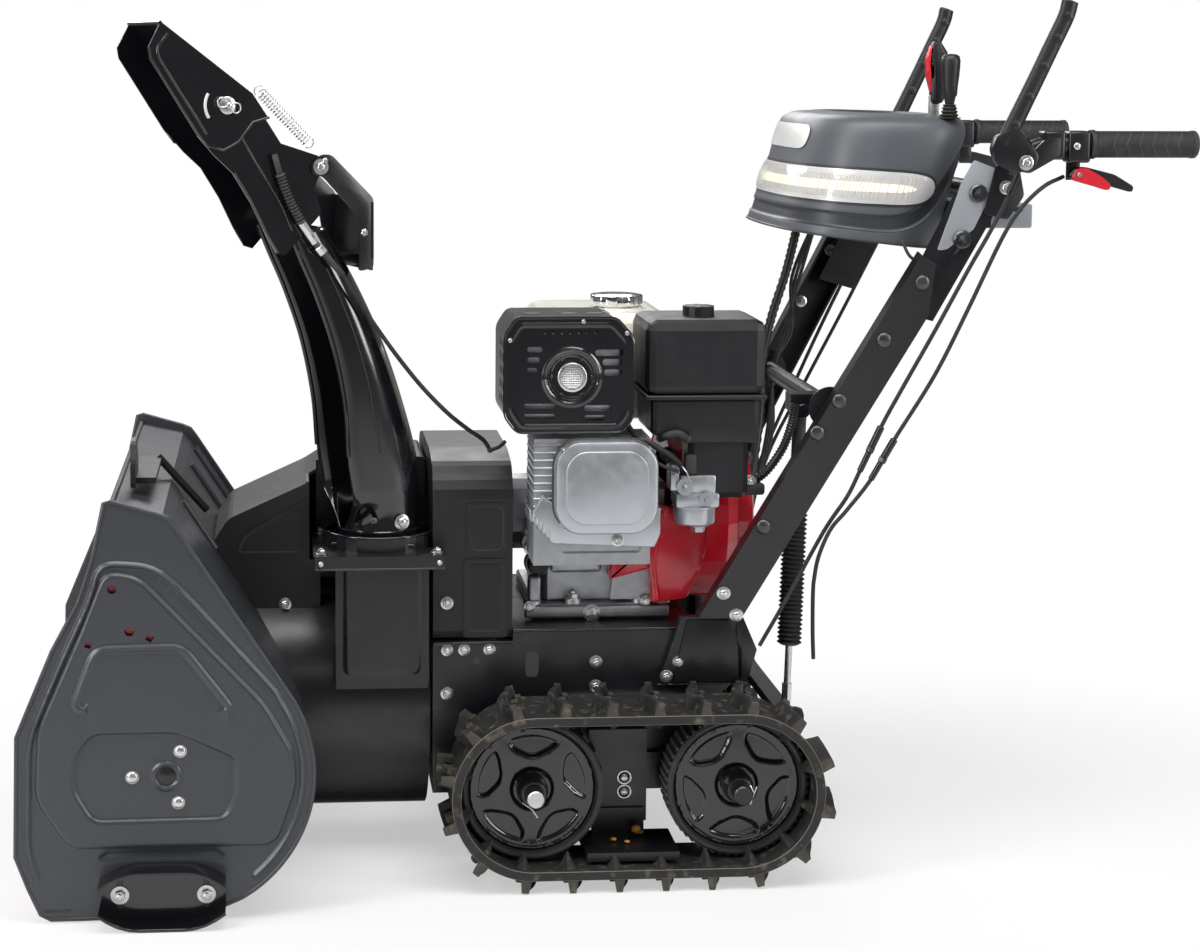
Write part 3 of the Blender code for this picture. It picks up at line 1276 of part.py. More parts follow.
def make_clean_out_tool():
    """A scoop standing on the housing's top, on a shaft that lies down the slope."""
    scoop_outline = [
        (-0.236, 0.542), (-0.164, 0.542), (-0.168, 0.575), (-0.184, 0.604), (-0.216, 0.604), (-0.232, 0.575),
    ]
    scoop = plate("clean_out_tool", rounded(scoop_outline, 0.006, 2), "YZ", -0.6380, -0.6310, BLACK_PLASTIC)
    shelf = box("tool_shelf", (-0.6340, -0.226, 0.5470), (-0.6050, -0.046, 0.5550), BLACK_PLASTIC)
    shaft = rod("tool_shaft", (-0.6100, -0.060, 0.5560), (-0.5420, -0.060, 0.4790), 0.0055, BLACK_PLASTIC, 12)
    trim = housing_volume("tool_trim", GAP * 2)
    join(scoop, shelf, shaft)
    return cut(scoop, trim)


make_auger_housing()
for side_name, side_sign in SIDES:
    make_side_plate("side_plate_" + side_name, side_sign)
    make_skid_shoe("skid_shoe_" + side_name, side_sign)
    make_handle_column("handle_column_" + side_name, side_sign)
    make_grip("grip_" + side_name, side_sign)
    make_clutch_lever("clutch_lever_" + side_name, side_sign)
make_scraper_blade()
make_impeller_housing()
make_chute_flange()
make_auger_gearbox()
make_auger()
make_impeller()
make_chute_group()
make_front_cover()
make_belt_cover()
make_main_frame()
make_transmission()
make_tracks()
make_engine_block()
make_rocker_cover()
make_muffler()
make_fuel_tank()
make_air_cleaner()
make_fan_housing()
make_column_crossbar()
make_console_shell()
make_headlight_lens()
make_console_bracket()
make_handlebar()
make_triggers()
make_gear_lever()
make_joystick()
make_strut()
make_cables()
make_clean_out_tool()
bpy.context.view_layer.update()
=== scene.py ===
"""The snowblower's looks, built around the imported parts. Metres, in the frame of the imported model."""

import json
import math

import bmesh
import bpy
import numpy as np
from mathutils import Matrix, Vector
from mathutils.geometry import delaunay_2d_cdt

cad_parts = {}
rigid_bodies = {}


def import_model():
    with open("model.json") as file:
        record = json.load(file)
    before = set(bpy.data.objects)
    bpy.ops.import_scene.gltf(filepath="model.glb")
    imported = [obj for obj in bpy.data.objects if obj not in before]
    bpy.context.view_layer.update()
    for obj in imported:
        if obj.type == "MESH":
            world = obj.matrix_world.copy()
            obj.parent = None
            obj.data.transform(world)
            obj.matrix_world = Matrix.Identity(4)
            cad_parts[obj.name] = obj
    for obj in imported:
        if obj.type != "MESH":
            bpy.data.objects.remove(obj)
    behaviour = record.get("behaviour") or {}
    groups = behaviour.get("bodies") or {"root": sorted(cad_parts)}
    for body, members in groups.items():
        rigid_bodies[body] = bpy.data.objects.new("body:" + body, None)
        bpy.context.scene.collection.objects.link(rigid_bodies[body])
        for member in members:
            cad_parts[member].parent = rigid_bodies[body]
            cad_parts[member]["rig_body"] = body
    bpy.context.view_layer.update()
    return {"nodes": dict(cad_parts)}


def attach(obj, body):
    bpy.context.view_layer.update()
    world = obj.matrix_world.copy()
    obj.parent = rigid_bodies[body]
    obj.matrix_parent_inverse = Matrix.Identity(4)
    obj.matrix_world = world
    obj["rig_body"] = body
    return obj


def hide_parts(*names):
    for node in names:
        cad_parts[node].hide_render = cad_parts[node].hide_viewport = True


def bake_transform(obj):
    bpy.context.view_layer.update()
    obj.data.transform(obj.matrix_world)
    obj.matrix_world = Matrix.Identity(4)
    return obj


for leftover in list(bpy.data.objects):
    bpy.data.objects.remove(leftover, do_unlink=True)
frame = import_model()
NODES = frame["nodes"]
X, Y, Z = Vector((1, 0, 0)), Vector((0, 1, 0)), Vector((0, 0, 1))
SIDES = (("left", -1), ("right", 1))

# ---------------------------------------------------------------- materials


class Nodes:
    """A material's nodes. Colour, roughness and bump come from noise in the piece's own coordinates."""

    def __init__(self, name, colour, roughness, metallic=0.0):
        self.made = bpy.data.materials.new(name)
        self.made.use_nodes = True
        self.tree = self.made.node_tree
        self.shader = self.tree.nodes["Principled BSDF"]
        self.shader.inputs["Metallic"].default_value = metallic
        self.shader.inputs["Base Color"].default_value = (*colour, 1)
        self.shader.inputs["Roughness"].default_value = roughness
        self.coordinates = self.tree.nodes.new("ShaderNodeTexCoord").outputs["Object"]
        self.colour, self.roughness = colour, roughness

    def noise(self, scale, detail=3.0, stretch=(1, 1, 1)):
        mapping = self.tree.nodes.new("ShaderNodeMapping")
        mapping.inputs["Scale"].default_value = stretch
        self.tree.links.new(self.coordinates, mapping.inputs["Vector"])
        node = self.tree.nodes.new("ShaderNodeTexNoise")
        node.inputs["Scale"].default_value = scale
        node.inputs["Detail"].default_value = detail
        self.tree.links.new(mapping.outputs["Vector"], node.inputs["Vector"])
        return node.outputs["Fac"]

    def ramp(self, value, low, high, start, end):
        """Maps value from start..end to the colours low..high."""
        node = self.tree.nodes.new("ShaderNodeValToRGB")
        node.color_ramp.elements[0].position = start
        node.color_ramp.elements[1].position = end
        node.color_ramp.elements[0].color = (*low, 1)
        node.color_ramp.elements[1].color = (*high, 1)
        self.tree.links.new(value, node.inputs["Fac"])
        return node.outputs["Color"]

    def mix(self, share, first, second):
        node = self.tree.nodes.new("ShaderNodeMix")
        node.data_type = "RGBA"
        self.tree.links.new(share, node.inputs[0])
        self.tree.links.new(first, node.inputs[6])
        if isinstance(second, tuple):
            node.inputs[7].default_value = (*second, 1)
        else:
            self.tree.links.new(second, node.inputs[7])
        return node.outputs[2]

    def paint(self, output):
        self.tree.links.new(output, self.shader.inputs["Base Color"])

    def vary_colour(self, share, scale, detail=3.0):
        low = tuple(c * (1 - share) for c in self.colour)
        high = tuple(min(1.0, c * (1 + share)) for c in self.colour)
        output = self.ramp(self.noise(scale, detail), low, high, 0.3, 0.7)
        self.paint(output)
        return output

    def vary_roughness(self, spread, scale, stretch=(1, 1, 1)):
        node = self.tree.nodes.new("ShaderNodeMapRange")
        node.inputs["From Min"].default_value, node.inputs["From Max"].default_value = 0.3, 0.7
        node.inputs["To Min"].default_value = self.roughness - spread
        node.inputs["To Max"].default_value = self.roughness + spread
        self.tree.links.new(self.noise(scale, 4.0, stretch), node.inputs["Value"])
        self.tree.links.new(node.outputs["Result"], self.shader.inputs["Roughness"])

    def bump(self, scale, height, strength=0.4, stretch=(1, 1, 1), detail=2.0):
        node = self.tree.nodes.new("ShaderNodeBump")
        node.inputs["Strength"].default_value = strength
        node.inputs["Distance"].default_value = height
        self.tree.links.new(self.noise(scale, detail, stretch), node.inputs["Height"])
        self.tree.links.new(node.outputs["Normal"], self.shader.inputs["Normal"])

    def edges(self, base, colour, start=0.53, end=0.6):
        """Worn colour on sharp outer edges."""
        geometry = self.tree.nodes.new("ShaderNodeNewGeometry")
        share = self.ramp(geometry.outputs["Pointiness"], (0, 0, 0), (1, 1, 1), start, end)
        self.paint(self.mix(share, base, colour))

    def coat(self, weight, roughness):
        self.shader.inputs["Coat Weight"].default_value = weight
        self.shader.inputs["Coat Roughness"].default_value = roughness


def finish_of(name, colour, roughness, metallic, vary, rough, bump=None, coat=None):
    """Vary is (share, scale), rough (spread, scale), bump (scale, height, strength), coat (weight,
    roughness)."""
    nodes = Nodes(name, colour, roughness, metallic)
    nodes.vary_colour(*vary)
    nodes.vary_roughness(*rough)
    if bump:
        nodes.bump(*bump)
    if coat:
        nodes.coat(*coat)
    return nodes.made


HOUSING = finish_of("housing_coat", (0.047, 0.05, 0.056), 0.36, 0.35, (0.1, 420.0), (0.04, 60.0),
                    (1400.0, 0.0002, 0.35), (0.25, 0.22))
GLOSS = finish_of("gloss_black", (0.005, 0.005, 0.007), 0.17, 0.0, (0.2, 6.0), (0.05, 22.0),
                  (260.0, 0.0002, 0.12), (0.7, 0.06))
SATIN = finish_of("satin_black", (0.007, 0.007, 0.009), 0.32, 0.0, (0.2, 8.0), (0.06, 30.0),
                  (700.0, 0.0002, 0.2), (0.2, 0.2))
PLASTIC = finish_of("black_moulding", (0.008, 0.008, 0.01), 0.44, 0.0, (0.15, 12.0), (0.06, 30.0),
                    (400.0, 0.00005, 0.1))
GREY = finish_of("console_grey", (0.082, 0.089, 0.098), 0.4, 0.0, (0.05, 10.0), (0.05, 30.0),
                 (1300.0, 0.0003, 0.35))
DARK_GREY = finish_of("console_dark", (0.03, 0.032, 0.036), 0.42, 0.0, (0.05, 10.0), (0.05, 30.0),
                      (1300.0, 0.0003, 0.4))
RED = finish_of("red_gloss", (0.58, 0.006, 0.022), 0.26, 0.0, (0.12, 7.0), (0.05, 20.0),
                (300.0, 0.0002, 0.15), (0.5, 0.08))
RED_MOULDING = finish_of("red_moulding", (0.55, 0.01, 0.022), 0.38, 0.0, (0.08, 9.0), (0.05, 25.0),
                         (1100.0, 0.0002, 0.3))
ZINC = finish_of("zinc", (0.62, 0.62, 0.61), 0.3, 1.0, (0.08, 90.0), (0.06, 120.0), (500.0, 0.00003, 0.08))
CHROME = finish_of("chrome", (0.8, 0.8, 0.81), 0.13, 1.0, (0.04, 40.0), (0.03, 60.0), (300.0, 0.0001, 0.08))
DARK_METAL = finish_of("dark_metal", (0.1, 0.1, 0.105), 0.38, 1.0, (0.25, 90.0), (0.1, 80.0),
                       (500.0, 0.0002, 0.3))
CAST = finish_of("cast_aluminium", (0.42, 0.43, 0.45), 0.42, 0.9, (0.1, 60.0), (0.08, 90.0),
                 (650.0, 0.0006, 0.7))
SILVER = finish_of("silver_cover", (0.5, 0.52, 0.55), 0.36, 0.85, (0.05, 30.0), (0.06, 60.0),
                   (800.0, 0.0002, 0.3))
CREAM = finish_of("cream_tank", (0.8, 0.77, 0.68), 0.28, 0.0, (0.04, 5.0), (0.04, 15.0),
                  (240.0, 0.0002, 0.12), (0.4, 0.1))
GREASE = finish_of("grease", (0.55, 0.25, 0.03), 0.22, 0.0, (0.4, 120.0), (0.08, 90.0), (260.0, 0.0012, 0.8))


def rubber(name, worn, share):
    """Black rubber with light marks on its edges and dusty patches."""
    nodes = Nodes(name, (0.013, 0.013, 0.014), 0.62)
    base = nodes.vary_colour(0.25, 22.0)
    dust = nodes.ramp(nodes.noise(70.0, 6.0), (0, 0, 0), (share,) * 3, 0.56, 0.74)
    nodes.edges(nodes.mix(dust, base, worn), tuple(c * 0.8 for c in worn), 0.54, 0.66)
    nodes.vary_roughness(0.12, 45.0)
    nodes.bump(420.0, 0.0003, 0.4)
    return nodes.made


RUBBER = rubber("rubber", (0.11, 0.1, 0.09), 0.12)
BELT_RUBBER = rubber("belt_rubber", (0.2, 0.17, 0.12), 0.55)


def glass(name, colour, alpha):
    nodes = Nodes(name, colour, 0.06)
    nodes.vary_colour(0.05, 30.0)
    nodes.vary_roughness(0.02, 60.0)
    nodes.shader.inputs["Alpha"].default_value = alpha
    nodes.coat(1.0, 0.04)
    return nodes.made


LENS = glass("lens", (0.72, 0.7, 0.68), 0.3)


def lamp(name, colour, strength):
    nodes = Nodes(name, colour, 0.3)
    nodes.vary_colour(0.1, 200.0)
    nodes.shader.inputs["Emission Color"].default_value = (*colour, 1)
    nodes.shader.inputs["Emission Strength"].default_value = strength
    nodes.bump(300.0, 0.0004, 0.3)
    return nodes.made


LED = lamp("warm_led", (1.0, 0.84, 0.58), 1.0)
REFLECTOR = finish_of("reflector", (0.66, 0.66, 0.65), 0.36, 0.25, (0.03, 30.0), (0.05, 40.0))

# ---------------------------------------------------------------- shapes

PLANES = {"XZ": Matrix(((1, 0, 0), (0, 0, -1), (0, 1, 0))), "YZ": Matrix(((0, 0, 1), (1, 0, 0), (0, 1, 0))),
          "XY": Matrix.Identity(3)}

BEVEL_ANGLE, RIM_ANGLE, FLAT_ANGLE = math.radians(38), math.radians(50), math.radians(1)


def circle(a, b, radius, count=24, start=0.0, sweep=math.tau):
    """A circle about (a, b), or the arc of it from start over sweep."""
    steps = count if sweep == math.tau else count - 1
    return [(a + radius * math.cos(start + sweep * i / steps),
             b + radius * math.sin(start + sweep * i / steps)) for i in range(count)]


def rounded(points, radius, steps=4):
    """The outline with its corners cut round."""
    out = []
    for i, corner in enumerate(points):
        corner = Vector(corner)
        before, after = Vector(points[i - 1]), Vector(points[(i + 1) % len(points)])
        reach = min(radius, (before - corner).length / 2.2, (after - corner).length / 2.2)
        a = corner + (before - corner).normalized() * reach
        b = corner + (after - corner).normalized() * reach
        for step in range(steps + 1):
            t = step / steps
            out.append(tuple((1 - t) ** 2 * a + 2 * t * (1 - t) * corner + t * t * b))
    return out


def rectangle(low_a, high_a, low_b, high_b, radius=0.006, steps=4):
    """A rectangle with round corners."""
    return rounded([(low_a, low_b), (high_a, low_b), (high_a, high_b), (low_a, high_b)], radius, steps)


def closed(points):
    """The points, with the first one again at the end."""
    return [*points, points[0]]


def turned(points, angle):
    """Points in the plane, turned about the origin."""
    return [(a * math.cos(angle) - b * math.sin(angle), a * math.sin(angle) + b * math.cos(angle))
            for a, b in points]


def through(points, steps):
    """Points on a smooth curve through the given ones, in any number of dimensions."""
    points = [Vector(point) for point in points]
    ends = [2 * points[0] - points[1], *points, 2 * points[-1] - points[-2]]
    route = []
    for before, start, end, after in zip(ends, ends[1:], ends[2:], ends[3:]):
        for step in range(steps):
            t = step / steps
            route.append(0.5 * (2 * start + (end - before) * t + (2 * before - 5 * start + 4 * end - after)
                                * t * t + (3 * start - before - 3 * end + after) * t ** 3))
    return [*route, points[-1]]


def facing(direction):
    """The rotation that turns +Z to direction."""
    return Vector(direction).to_track_quat("Z", "Y").to_matrix().to_4x4()


class Shape:
    """Solids gathered into one mesh."""

    def __init__(self, matrix=None):
        self.work = bmesh.new()
        self.matrix = matrix or Matrix.Identity(4)

    def put(self, piece, matrix=None):
        """Adds the bmesh piece, placed by matrix, and frees it."""
        bmesh.ops.recalc_face_normals(piece, faces=piece.faces)
        if matrix is not None:
            piece.transform(matrix)
        mesh = bpy.data.meshes.new("piece")
        piece.to_mesh(mesh)
        piece.free()
        self.work.from_mesh(mesh)
        bpy.data.meshes.remove(mesh)
        return self

    def box(self, low, high, bevel=0.0, segments=2, matrix=None):
        low, high = Vector(map(min, low, high)), Vector(map(max, low, high))
        piece = bmesh.new()
        bmesh.ops.create_cube(piece, size=1.0)
        bmesh.ops.scale(piece, vec=high - low, verts=piece.verts)
        if bevel:
            bmesh.ops.bevel(piece, geom=piece.edges[:], offset=bevel, segments=segments, profile=0.5,
                            affect="EDGES")
        place = Matrix.Translation((low + high) / 2)
        return self.put(piece, matrix @ place if matrix else place)

    def lathe(self, profile, base, axis=Z, steps=40):
        """A profile of (radius, height), turned about an axis through base."""
        piece = bmesh.new()
        points = [piece.verts.new((radius, 0, height)) for radius, height in profile]
        for a, b in zip(points, points[1:]):
            piece.edges.new((a, b))
        bmesh.ops.spin(piece, geom=piece.verts[:] + piece.edges[:], cent=(0, 0, 0), axis=(0, 0, 1),
                       angle=math.tau, steps=steps, use_merge=True, use_duplicate=False)
        bmesh.ops.remove_doubles(piece, verts=piece.verts, dist=0.000005)
        return self.put(piece, Matrix.Translation(base) @ facing(axis))

    def rod(self, start, end, radius, sides=24, edge=0.0):
        """A round bar with its ends chamfered by edge."""
        start, end = Vector(start), Vector(end)
        length = (end - start).length
        profile = [
            (0, 0), (radius - edge, 0), (radius, edge), (radius, length - edge), (radius - edge, length),
            (0, length),
        ]
        return self.lathe(profile, start, end - start, sides)

    def disc(self, at, axis, radius, height, steps=28):
        return self.lathe([(0, 0), (radius, 0), (radius, height), (0, height)], at, axis, steps)

    def ring(self, at, axis, inner, outer, height, steps=28):
        return self.lathe([(inner, 0), (outer, 0), (outer, height), (inner, height)], at, axis, steps)

    def prism(self, outline, plane, low, high, bevel=0.0):
        """A flat outline in a plane, filling from low to high along the plane's normal."""
        piece = bmesh.new()
        face = piece.faces.new([piece.verts.new((a, b, 0)) for a, b in outline])
        grown = bmesh.ops.extrude_face_region(piece, geom=[face])
        for vert in [item for item in grown["geom"] if isinstance(item, bmesh.types.BMVert)]:
            vert.co.z += abs(high - low)
        if bevel:
            ends = [e for e in piece.edges if abs(e.verts[0].co.z - e.verts[1].co.z) < 1e-9]
            bmesh.ops.bevel(piece, geom=ends, offset=bevel, segments=2, profile=0.5, affect="EDGES")
        near = {"XZ": (0, max(low, high), 0), "YZ": (min(low, high), 0, 0),
                "XY": (0, 0, min(low, high))}[plane]
        return self.put(piece, Matrix.Translation(near) @ PLANES[plane].to_4x4())

    def plate(self, outline, side, near, far, bevel=0.0):
        """An outline seen from the side, from near to far out on one side of the machine."""
        return self.prism(outline, "XZ", side * near, side * far, bevel)

    def tube(self, points, radius, sides=12, radii=None):
        """A round tube along points, with flat ends."""
        points = [Vector(point) for point in points]
        piece = bmesh.new()
        normal, rings = None, []
        for i, point in enumerate(points):
            along = (points[min(i + 1, len(points) - 1)] - points[max(i - 1, 0)]).normalized()
            if normal is None:
                normal = along.orthogonal().normalized()
            normal = (normal - along * normal.dot(along)).normalized()
            other = along.cross(normal)
            r = radii[i] if radii else radius
            rings.append([piece.verts.new(point + r * (math.cos(a) * normal + math.sin(a) * other))
                          for a in (math.tau * k / sides for k in range(sides))])
        for ring, after in zip(rings, rings[1:]):
            for k in range(sides):
                j = (k + 1) % sides
                piece.faces.new((ring[k], ring[j], after[j], after[k]))
        piece.faces.new(rings[0])
        piece.faces.new(rings[-1])
        return self.put(piece)

    def ribbed(self, points, crest, trough, sides=12):
        return self.tube(points, crest, sides, [crest if k % 2 else trough for k in range(len(points))])

    def bolt(self, at, normal, size=0.0065, washer=True, height=0.0045):
        """A hexagon head on a washer. Size is the head's radius."""
        at, normal = Vector(at), Vector(normal).normalized()
        if washer:
            ring = [
                (0, 0), (size * 1.45, 0), (size * 1.5, 0.0004), (size * 1.5, 0.0012), (size * 1.4, 0.0015),
                (0, 0.0015),
            ]
            self.lathe(ring, at, normal, 28)
        lift = 0.0015 if washer else 0
        piece = bmesh.new()
        rings = []
        for radius, z in ((size, 0), (size, height * 0.82), (size * 0.86, height)):
            rings.append([piece.verts.new((x, y, z)) for x, y in circle(0, 0, radius, 6, 0.3)])
        for ring, after in zip(rings, rings[1:]):
            for k in range(6):
                piece.faces.new((ring[k], ring[(k + 1) % 6], after[(k + 1) % 6], after[k]))
        piece.faces.new(rings[0])
        piece.faces.new(rings[-1])
        self.put(piece, Matrix.Translation(at + normal * lift) @ facing(normal))
        tip = [
            (0, 0), (size * 0.52, 0), (size * 0.52, height * 0.5), (size * 0.42, height * 0.6),
            (0, height * 0.6),
        ]
        return self.lathe(tip, at + normal * (lift + height * 0.9), normal, 16)

    def dome(self, at, normal, radius=0.01, height=0.005):
        """A carriage bolt's round head."""
        rise = [(radius * math.sin(a), height * math.cos(a)) for a in (math.pi / 2 * k / 6 for k in range(7))]
        return self.lathe([(0, 0), *rise[::-1]], at, normal, 28)

    def emit(self, name, paint, body, angle=35, bevel=0.0, replaces=()):
        """Ends the shape as one piece. Edges sharper than angle, in degrees, stay hard."""
        mesh = bpy.data.meshes.new(name)
        self.work.transform(self.matrix)
        self.work.to_mesh(mesh)
        self.work.free()
        return show(name, mesh, paint, body, angle, bevel, replaces)


def show(name, mesh, paint, body, angle=35, bevel=0.0, replaces=()):
    """Puts a mesh in the scene as a piece that moves with body."""
    obj = bpy.data.objects.new(name, mesh)
    bpy.context.scene.collection.objects.link(obj)
    mesh.materials.clear()
    mesh.materials.append(paint)
    mesh.shade_smooth()
    mesh.set_sharp_from_angle(angle=math.radians(angle))
    if bevel:
        soften(obj, bevel)
    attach(obj, body)
    if replaces:
        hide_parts(*replaces)
    return obj


def soften(obj, width):
    """Bevels the sharp edges."""
    bevel = obj.modifiers.new("edges", "BEVEL")
    bevel.width, bevel.segments = width, 2
    bevel.limit_method, bevel.angle_limit = "ANGLE", BEVEL_ANGLE
    bevel.harden_normals = True


def keep(names, paint, width=0.0008):
    """A CAD node stays as it is, with its own finish and softer edges."""
    for name in names.split():
        obj = NODES[name]
        obj.data.materials.clear()
        obj.data.materials.append(paint)
        flat = obj.modifiers.new("flat", "DECIMATE")
        flat.decimate_type, flat.angle_limit = "DISSOLVE", FLAT_ANGLE
        if width:
            soften(obj, width)


def distance_to(points, path, looped):
    """Distance from each point to a line of points."""
    start = np.array(path)
    end = np.roll(start, -1, 0) if looped else start[1:]
    best = np.full(len(points), 1e9)
    for p, q in zip(start, end):
        run = q - p
        t = np.clip(((points - p) @ run) / max(run @ run, 1e-12), 0, 1)
        best = np.minimum(best, np.linalg.norm(points - p - t[:, None] * run, axis=1))
    return best


def inside(points, loop):
    """Which points lie within a loop."""
    x, y = points[:, 0], points[:, 1]
    found = np.zeros(len(points), bool)
    start = np.array(loop)
    for (x0, y0), (x1, y1) in zip(start, np.roll(start, -1, 0)):
        if abs(y1 - y0) > 1e-12:
            found ^= ((y0 > y) != (y1 > y)) & (x < (x1 - x0) * (y - y0) / (y1 - y0) + x0)
    return found


def resampled(path, step, looped):
    """Points about a step apart along a path of straight runs."""
    points = [Vector(p) for p in path]
    if looped:
        points.append(points[0])
    out = []
    for a, b in zip(points, points[1:]):
        count = max(1, round((b - a).length / step))
        out += [tuple(a + (b - a) * k / count) for k in range(count)]
    if not looped:
        out.append(tuple(points[-1]))
    return out


# Where points lie across a feature, in widths, and how far they keep from edges and each other, in steps.
ACROSS_FEATURE = (-1.3, -1.0, -0.66, -0.33, 0.0, 0.33, 0.66, 1.0, 1.3)
EDGE_GAP, HOLE_GAP, POINT_GAP, OUTLINE_STEP = 0.6, 0.4, 0.42, 1.5


def stamped(outline, features, holes=(), step=0.004, coarse=0.016):
    """A sheet's points, heights and triangles. A feature is (bead or area, path, width, height, closed)."""
    loops = [resampled(outline, step * OUTLINE_STEP, True), *[list(hole) for hole in holes]]
    points = [np.array(loop) for loop in loops]
    extra = []
    for _, path, width, _, looped in features:
        line = np.array(resampled(path, step, looped))
        run = np.roll(line, -1, 0) - np.roll(line, 1, 0)
        if not looped:
            run[0], run[-1] = line[1] - line[0], line[-1] - line[-2]
        across = np.stack([-run[:, 1], run[:, 0]], 1) / np.linalg.norm(run, axis=1)[:, None]
        for share in ACROSS_FEATURE:
            extra.append(line + across * share * width)
    low, high = np.array(outline).min(0), np.array(outline).max(0)
    columns, rows = np.arange(low[0], high[0], coarse), np.arange(low[1], high[1], coarse)
    extra.append(np.stack(np.meshgrid(columns, rows), -1).reshape(-1, 2))
    extra = np.concatenate(extra)
    clear = inside(extra, outline) & (distance_to(extra, outline, True) > step * EDGE_GAP)
    for hole in holes:
        clear &= ~inside(extra, hole) & (distance_to(extra, hole, True) > step * HOLE_GAP)
    extra = extra[clear]
    cells, chosen = set(), []
    for point in extra:
        cell = tuple(round(value / (step * POINT_GAP)) for value in point)
        if cell not in cells:
            cells.add(cell)
            chosen.append(point)
    fixed = np.concatenate(points)
    edges, offset = [], 0
    for loop in loops:
        edges += [(offset + k, offset + (k + 1) % len(loop)) for k in range(len(loop))]
        offset += len(loop)
    every = [Vector(p) for p in np.concatenate([fixed, np.array(chosen)])]
    flat, _, faces, _, _, _ = delaunay_2d_cdt(every, edges, [], 1, 1e-7)
    flat = np.array([tuple(p) for p in flat])
    middles = np.array([flat[list(face)].mean(0) for face in faces])
    kept = inside(middles, outline)
    for hole in holes:
        kept &= ~inside(middles, hole)
    faces = [face for face, shown in zip(faces, kept) if shown]
    heights = np.zeros(len(flat))
    for kind, path, width, height, looped in features:
        away = distance_to(flat, path, looped)
        if kind == "bead":
            heights += height * np.where(away < width, 0.5 + 0.5 * np.cos(math.pi * away / width), 0)
        else:
            signed = np.where(inside(flat, path), away, -away)
            t = np.clip(signed / width + 0.5, 0, 1)
            heights += height * t * t * (3 - 2 * t)
    return flat, heights, faces


def sheet(name, outline, features, place, paint, body, thickness, holes=(), step=0.004, replaces=()):
    """A stamped sheet. place turns (a, b, height) into a point."""
    flat, heights, faces = stamped(outline, features, holes, step)
    mesh = bpy.data.meshes.new(name)
    mesh.from_pydata([place(a, b, h) for (a, b), h in zip(flat, heights)], [], [list(face) for face in faces])
    work = bmesh.new()
    work.from_mesh(mesh)
    loose = [vert for vert in work.verts if not vert.link_faces]
    bmesh.ops.delete(work, geom=loose, context="VERTS")
    bmesh.ops.recalc_face_normals(work, faces=work.faces)
    work.to_mesh(mesh)
    work.free()
    obj = show(name, mesh, paint, body, 40, 0, replaces)
    solid = obj.modifiers.new("thickness", "SOLIDIFY")
    solid.thickness, solid.offset = thickness, 0.0
    rim = obj.modifiers.new("rim", "EDGE_SPLIT")
    rim.split_angle = RIM_ANGLE


def loft(work, rings, looped=False):
    """Skins rings of points. Looped joins the last ring to the first."""
    made = [[work.verts.new(point) for point in ring] for ring in rings]
    count = len(made[0])
    pairs = list(zip(made, made[1:]))
    if looped:
        pairs.append((made[-1], made[0]))
    for ring, after in pairs:
        for k in range(count):
            j = (k + 1) % count
            work.faces.new((ring[k], ring[j], after[j], after[k]))
    if not looped:
        work.faces.new(made[0])
        work.faces.new(made[-1][::-1])
    return work


def skin(work, rows, looped=False, shade=0):
    """Faces between rows of vertices."""
    count = len(rows[0])
    for row, above in zip(rows, rows[1:]):
        for i in range(count if looped else count - 1):
            j = (i + 1) % count
            work.faces.new((row[i], row[j], above[j], above[i])).material_index = shade


def face_y(y):
    """Places a sheet on the plane Y = y, its relief towards -Y or, if y is above 0, towards +Y."""
    side = -1 if y < 0 else 1
    return lambda a, b, h: (a, y + side * h, b)


# ---------------------------------------------------------------- CAD nodes that keep their shape

keep("auger_housing", HOUSING)
# console_bracket is black: where it shows below the grey side panels, the black is painted shade under the
# console.
keep("scraper_blade auger_gearbox impeller_housing chute_flange console_bracket column_crossbar", SATIN)
keep("main_frame track_frame handle_column_left handle_column_right transmission", SATIN)
keep("skid_shoe_left skid_shoe_right deflector_lower deflector_upper", GLOSS, 0.0006)
keep("auger_shaft strut_rod", ZINC, 0.0)
keep("impeller", RED)
keep("front_cover belt_cover clean_out_tool air_cleaner_case air_cleaner_lid recoil_grip", PLASTIC, 0.0)
keep("steer_trigger_left steer_trigger_right", PLASTIC, 0.0012)
keep("height_trigger", RED_MOULDING, 0.0012)
keep("engine_block rocker_cover", CAST, 0.0)
keep("fuel_tank", CREAM, 0.0)
keep("fan_housing", RED, 0.0)

# ---------------------------------------------------------------- auger housing

AUGER = Vector((-0.588, 0, 0.192))
PLATE_Y = 0.3785
PLATE_OUTLINE = [
    (-0.7, 0.004), (-0.56, 0.007), (-0.52, 0.016),
    *circle(-0.588, 0.192, 0.19, 40, math.radians(-60), math.radians(93)), (-0.573, 0.517), (-0.581, 0.528),
    (-0.592, 0.533), (-0.655, 0.551), (-0.663, 0.549), (-0.679, 0.475), (-0.697, 0.421), (-0.731, 0.358),
    (-0.765, 0.277), (-0.778, 0.246), (-0.782, 0.088), (-0.766, 0.045), (-0.751, 0.011), (-0.738, 0.004),
]
INNER_RIB = [
    (-0.663, 0.46), (-0.6205, 0.453), (-0.463, 0.286), (-0.425, 0.219), (-0.422, 0.178), (-0.449, 0.1),
    (-0.713, 0.1), (-0.7545, 0.165), (-0.75, 0.255), (-0.6925, 0.385),
]
OUTER_RIB = [
    (-0.7405, 0.02), (-0.766, 0.09), (-0.763, 0.243), (-0.716, 0.352), (-0.682, 0.425), (-0.67, 0.472),
    (-0.6, 0.467), (-0.56, 0.428), (-0.447, 0.3),
    *circle(-0.588, 0.192, 0.175, 24, math.radians(33), math.radians(-85)),
]
TRAPEZOID = [(-0.706, 0.2825), (-0.6765, 0.361), (-0.566, 0.363), (-0.501, 0.277)]
OCTAGON = [
    (-0.7085, 0.179), (-0.706, 0.218), (-0.683, 0.2505), (-0.573, 0.2505), (-0.498, 0.215), (-0.498, 0.17),
    (-0.512, 0.135), (-0.683, 0.134),
]
